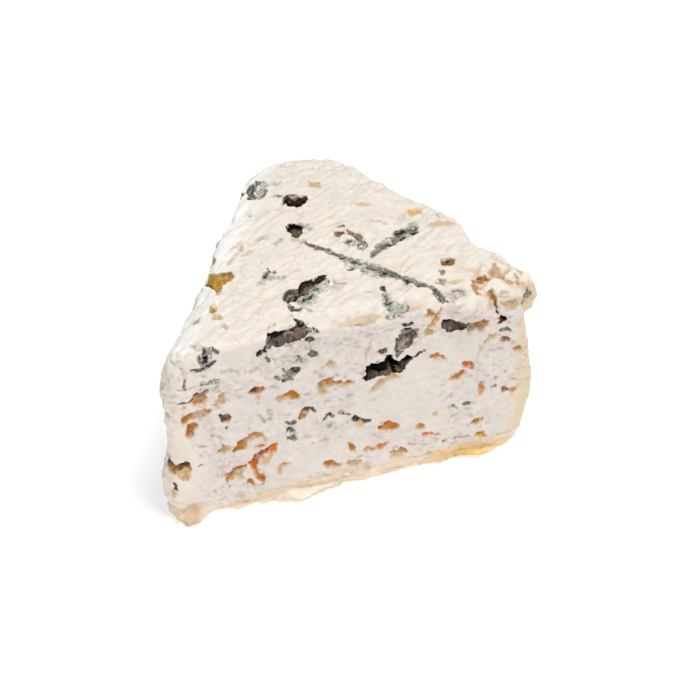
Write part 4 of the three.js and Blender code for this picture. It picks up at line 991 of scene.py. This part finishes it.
PASTE = even_light({
    "cut": (227, 218, 210),
    "level": (240, 231, 219),
    "rind": (228, 206, 176),
    "base": (246, 233, 216),
    "yellow": (234, 200, 132),
    "shade": (222, 194, 160),
    "skin_and_lip_shade": (214, 182, 142),
    "bright": (255, 253, 248),
    "crease": (208, 166, 120),
})
level_cut = ease(outward[:, 2], 0.2, 0.8) * ease(z, 50, 56)
near_rind = ease(WHEEL_RADIUS - np.hypot(x, y), 5 + 3 * hills(curd, 6, 40), 0) * (1 - level_cut)
near_nose = ease(np.hypot(x, y), 14, 2)
nose_foot = hump(np.hypot(x - 3, y - 1), 0, 9) * ease(z, 7, 2) * (1 + 0.4 * hills(curd, 3, 46))
foot_stain = hump(np.hypot(x - 4.5, z - 3.5), 0, 3.2) * ease(y, 5, 2)
near_base = ease(sheet_heights(curd), 1.3, 0.9)
butter = hump(x, 85, 17) * near_base * ease(z, 5.5, 3.5)
height = sheet_heights(curd)
seam = sum(np.exp(-(((height - share) * 7) ** 2)) for share, _ in SHEETS)
seam *= ease(1 - np.abs(outward[:, 2]), 0.2, 0.6)
valley = ease(fine, -0.2, -0.9)
crease = corner * ease(creased, 0.05, -0.6)
paste = np.tile(PASTE["cut"], (len(curd), 1))
for name, share in (
    # painted light: the level cut is painted lighter than the broad cut, as where the light from above falls
    ("level", level_cut),
    ("rind", 0.8 * near_rind),
    ("base", 0.5 * near_nose),
    # a painted highlight along the level cut's edge by the left cut
    ("bright", level_cut * ease(places["left"][2], 9, 1)),
    ("base", 0.9 * near_base),
    ("shade", 0.5 * near_base * ease(x, 36, 12)),
    ("skin_and_lip_shade", 0.6 * np.clip(nose_foot, 0, 1)),
    ("yellow", 1.0 * butter),
    ("crease", 0.45 * np.clip(seam, 0, 1)),
    ("crease", 0.6 * foot_stain),
    # painted shade on the lip's rounded edge, which faces forwards and down
    ("skin_and_lip_shade", 0.9 * at_lip * ease(z, lip_line - 0.2, lip_line + 0.2) * ease(y, 3.2, -0.4)),
    # painted shade in the dips of the fine relief
    ("shade", 0.45 * valley),
):
    paste = mix(paste, PASTE[name], share)
base_streaks = 0.15 * hills(curd * (0.12, 0.12, 1), 0.7, 45) * near_base
paste *= (1 + 0.03 * hills(curd, 4, 42) + 0.06 * hills(curd, 1.1, 43) + base_streaks)[:, None]
# Painted shade in the breaking corner's creases; then what soaks in, with the hollows' painted glow and shade.
for colours, share in ((PASTE["crease"], 0.9 * crease), (soak_glow_and_shade_tint, soak_glow_and_shade)):
    paste = mix(paste, colours, share)
stain_and_shadow *= (1 + 0.22 * hills(curd, 1.2, 44))[:, None]

attributes = cheese.data.attributes
for name, colours in (("paste_tint", paste), ("stain_and_shadow_tint", stain_and_shadow)):
    layer = attributes.new(name, "FLOAT_COLOR", "POINT")
    layer.data.foreach_set("color", np.c_[np.clip(colours, 0, 1), np.ones(len(curd))].ravel())
layer = attributes.new("stain_and_shadow_cover", "FLOAT", "POINT")
layer.data.foreach_set("value", cover)

# The underside, the left cut and the rind give up triangles first, then the plain paste of the other faces.
# The marks keep all of theirs. This is done in millimetres, as in metres the shape's small steps count as flat.
MOST_TRIANGLES = 198000
BACK_TRIANGLES = 38000
OPENED = 9  # what lies nearer than this to the broad or the level cut can belong to a pocket
BACK_SKIN = 1.5  # the left cut's and the rind's own surface
FINE_STRIP = 2.5  # beside the broad and the level cut that surface stays fine
FINE_NOSE = 9  # and so does all of it at the nose
places = face_places(curd)
to_front = np.minimum(places["broad"][2], places["top"][2])
to_back = np.minimum(places["left"][2], places["rind"][2])
on_front = (to_front < OPENED) & ((to_back > BACK_SKIN) | (to_front < FINE_STRIP) | (x < FINE_NOSE))
on_front &= (z > 0.05) | (to_front < 1)
plain = on_front & (cover < 0.1)
for name, chosen in (("back", ~on_front), ("plain", plain)):
    cheese.vertex_groups.new(name=name).add(np.flatnonzero(chosen).tolist(), 1.0, "REPLACE")
cheese.data.transform(Matrix.Scale(1 / MM, 4))
for name, most in (("back", 2 * int(on_front.sum()) + BACK_TRIANGLES), ("plain", MOST_TRIANGLES)):
    triangles = sum(len(face.vertices) - 2 for face in cheese.data.polygons)
    if triangles > most:
        finish_with(cheese, "DECIMATE", ratio=most / triangles, vertex_group=name, vertex_group_factor=0.1)
cheese.data.transform(Matrix.Scale(MM, 4))

# The few scraps of curd that the tearing left loose are swept away.
bpy.ops.object.select_all(action="DESELECT")
cheese.select_set(True)
bpy.context.view_layer.objects.active = cheese
bpy.ops.mesh.separate(type="LOOSE")
parts = [piece for piece in bpy.data.objects if piece.name.startswith("blue_cheese")]
*scraps, cheese = sorted(parts, key=lambda part: len(part.data.vertices))
for scrap in scraps:
    bpy.data.objects.remove(scrap)
cheese.name = "blue_cheese"

# The moist paste: light sinks into it, and its stains and painted shadows have grainy edges.
cheese_paste = bpy.data.materials.new("blue_cheese_paste")
cheese_paste.use_nodes = True
nodes, links = cheese_paste.node_tree.nodes, cheese_paste.node_tree.links
shader = nodes["Principled BSDF"]
shader.inputs["Roughness"].default_value = 0.52
shader.inputs["IOR"].default_value = 1.42
shader.inputs["Specular IOR Level"].default_value = 0.25
shader.inputs["Subsurface Weight"].default_value = 0.16
shader.inputs["Subsurface Radius"].default_value = (1.0, 0.62, 0.4)
shader.inputs["Subsurface Scale"].default_value = 0.6 * MM


def add_node(kind, **settings):
    node = nodes.new(kind)
    for name, value in settings.items():
        setattr(node, name, value)
    return node


def paste_noise(places_per_mm, detail=3):
    node = add_node("ShaderNodeTexNoise")
    node.inputs["Scale"].default_value = places_per_mm / MM
    node.inputs["Detail"].default_value = detail
    links.new(where.outputs["Object"], node.inputs["Vector"])
    return node.outputs["Fac"]


def sums(operation, first, second):
    node = add_node("ShaderNodeMath", operation=operation)
    for socket, value in zip(node.inputs, (first, second)):
        if isinstance(value, (int, float)):
            socket.default_value = value
        else:
            links.new(value, socket)
    return node.outputs[0]


where = add_node("ShaderNodeTexCoord")
# The points' colours: the paste with its painted light and shade, and over it the stains with the pockets'
# painted shadow.
paste_layer = add_node("ShaderNodeAttribute", attribute_name="paste_tint")
stain_and_shadow_layer = add_node("ShaderNodeAttribute", attribute_name="stain_and_shadow_tint")
cover_layer = add_node("ShaderNodeAttribute", attribute_name="stain_and_shadow_cover")
speckle = sums("ADD", sums("MULTIPLY", paste_noise(1.1), 0.55), sums("MULTIPLY", paste_noise(0.45), 0.45))
ragged_cover = sums("ADD", cover_layer.outputs["Fac"], sums("MULTIPLY", sums("SUBTRACT", speckle, 0.5), 1.1))
sharp_cover = add_node("ShaderNodeMapRange", interpolation_type="SMOOTHSTEP")
sharp_cover.inputs["From Min"].default_value = 0.22
sharp_cover.inputs["From Max"].default_value = 0.78
links.new(ragged_cover, sharp_cover.inputs["Value"])
stained_and_shaded = add_node("ShaderNodeMix", data_type="RGBA")
links.new(sharp_cover.outputs["Result"], stained_and_shaded.inputs["Factor"])
links.new(paste_layer.outputs["Color"], stained_and_shaded.inputs["A"])
links.new(stain_and_shadow_layer.outputs["Color"], stained_and_shaded.inputs["B"])
links.new(stained_and_shaded.outputs["Result"], shader.inputs["Base Color"])
bump = add_node("ShaderNodeBump")
bump.inputs["Strength"].default_value = 0.7
bump.inputs["Distance"].default_value = 0.25 * MM
links.new(sums("ADD", paste_noise(0.9, 4), sums("MULTIPLY", paste_noise(2.4, 3), 0.4)), bump.inputs["Height"])
links.new(bump.outputs["Normal"], shader.inputs["Normal"])

cheese.data.materials.clear()
cheese.data.materials.append(cheese_paste)
bpy.ops.object.select_all(action="DESELECT")
cheese.select_set(True)
bpy.context.view_layer.objects.active = cheese
bpy.ops.object.shade_smooth()
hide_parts("cheese_wedge")
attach(cheese, "root")
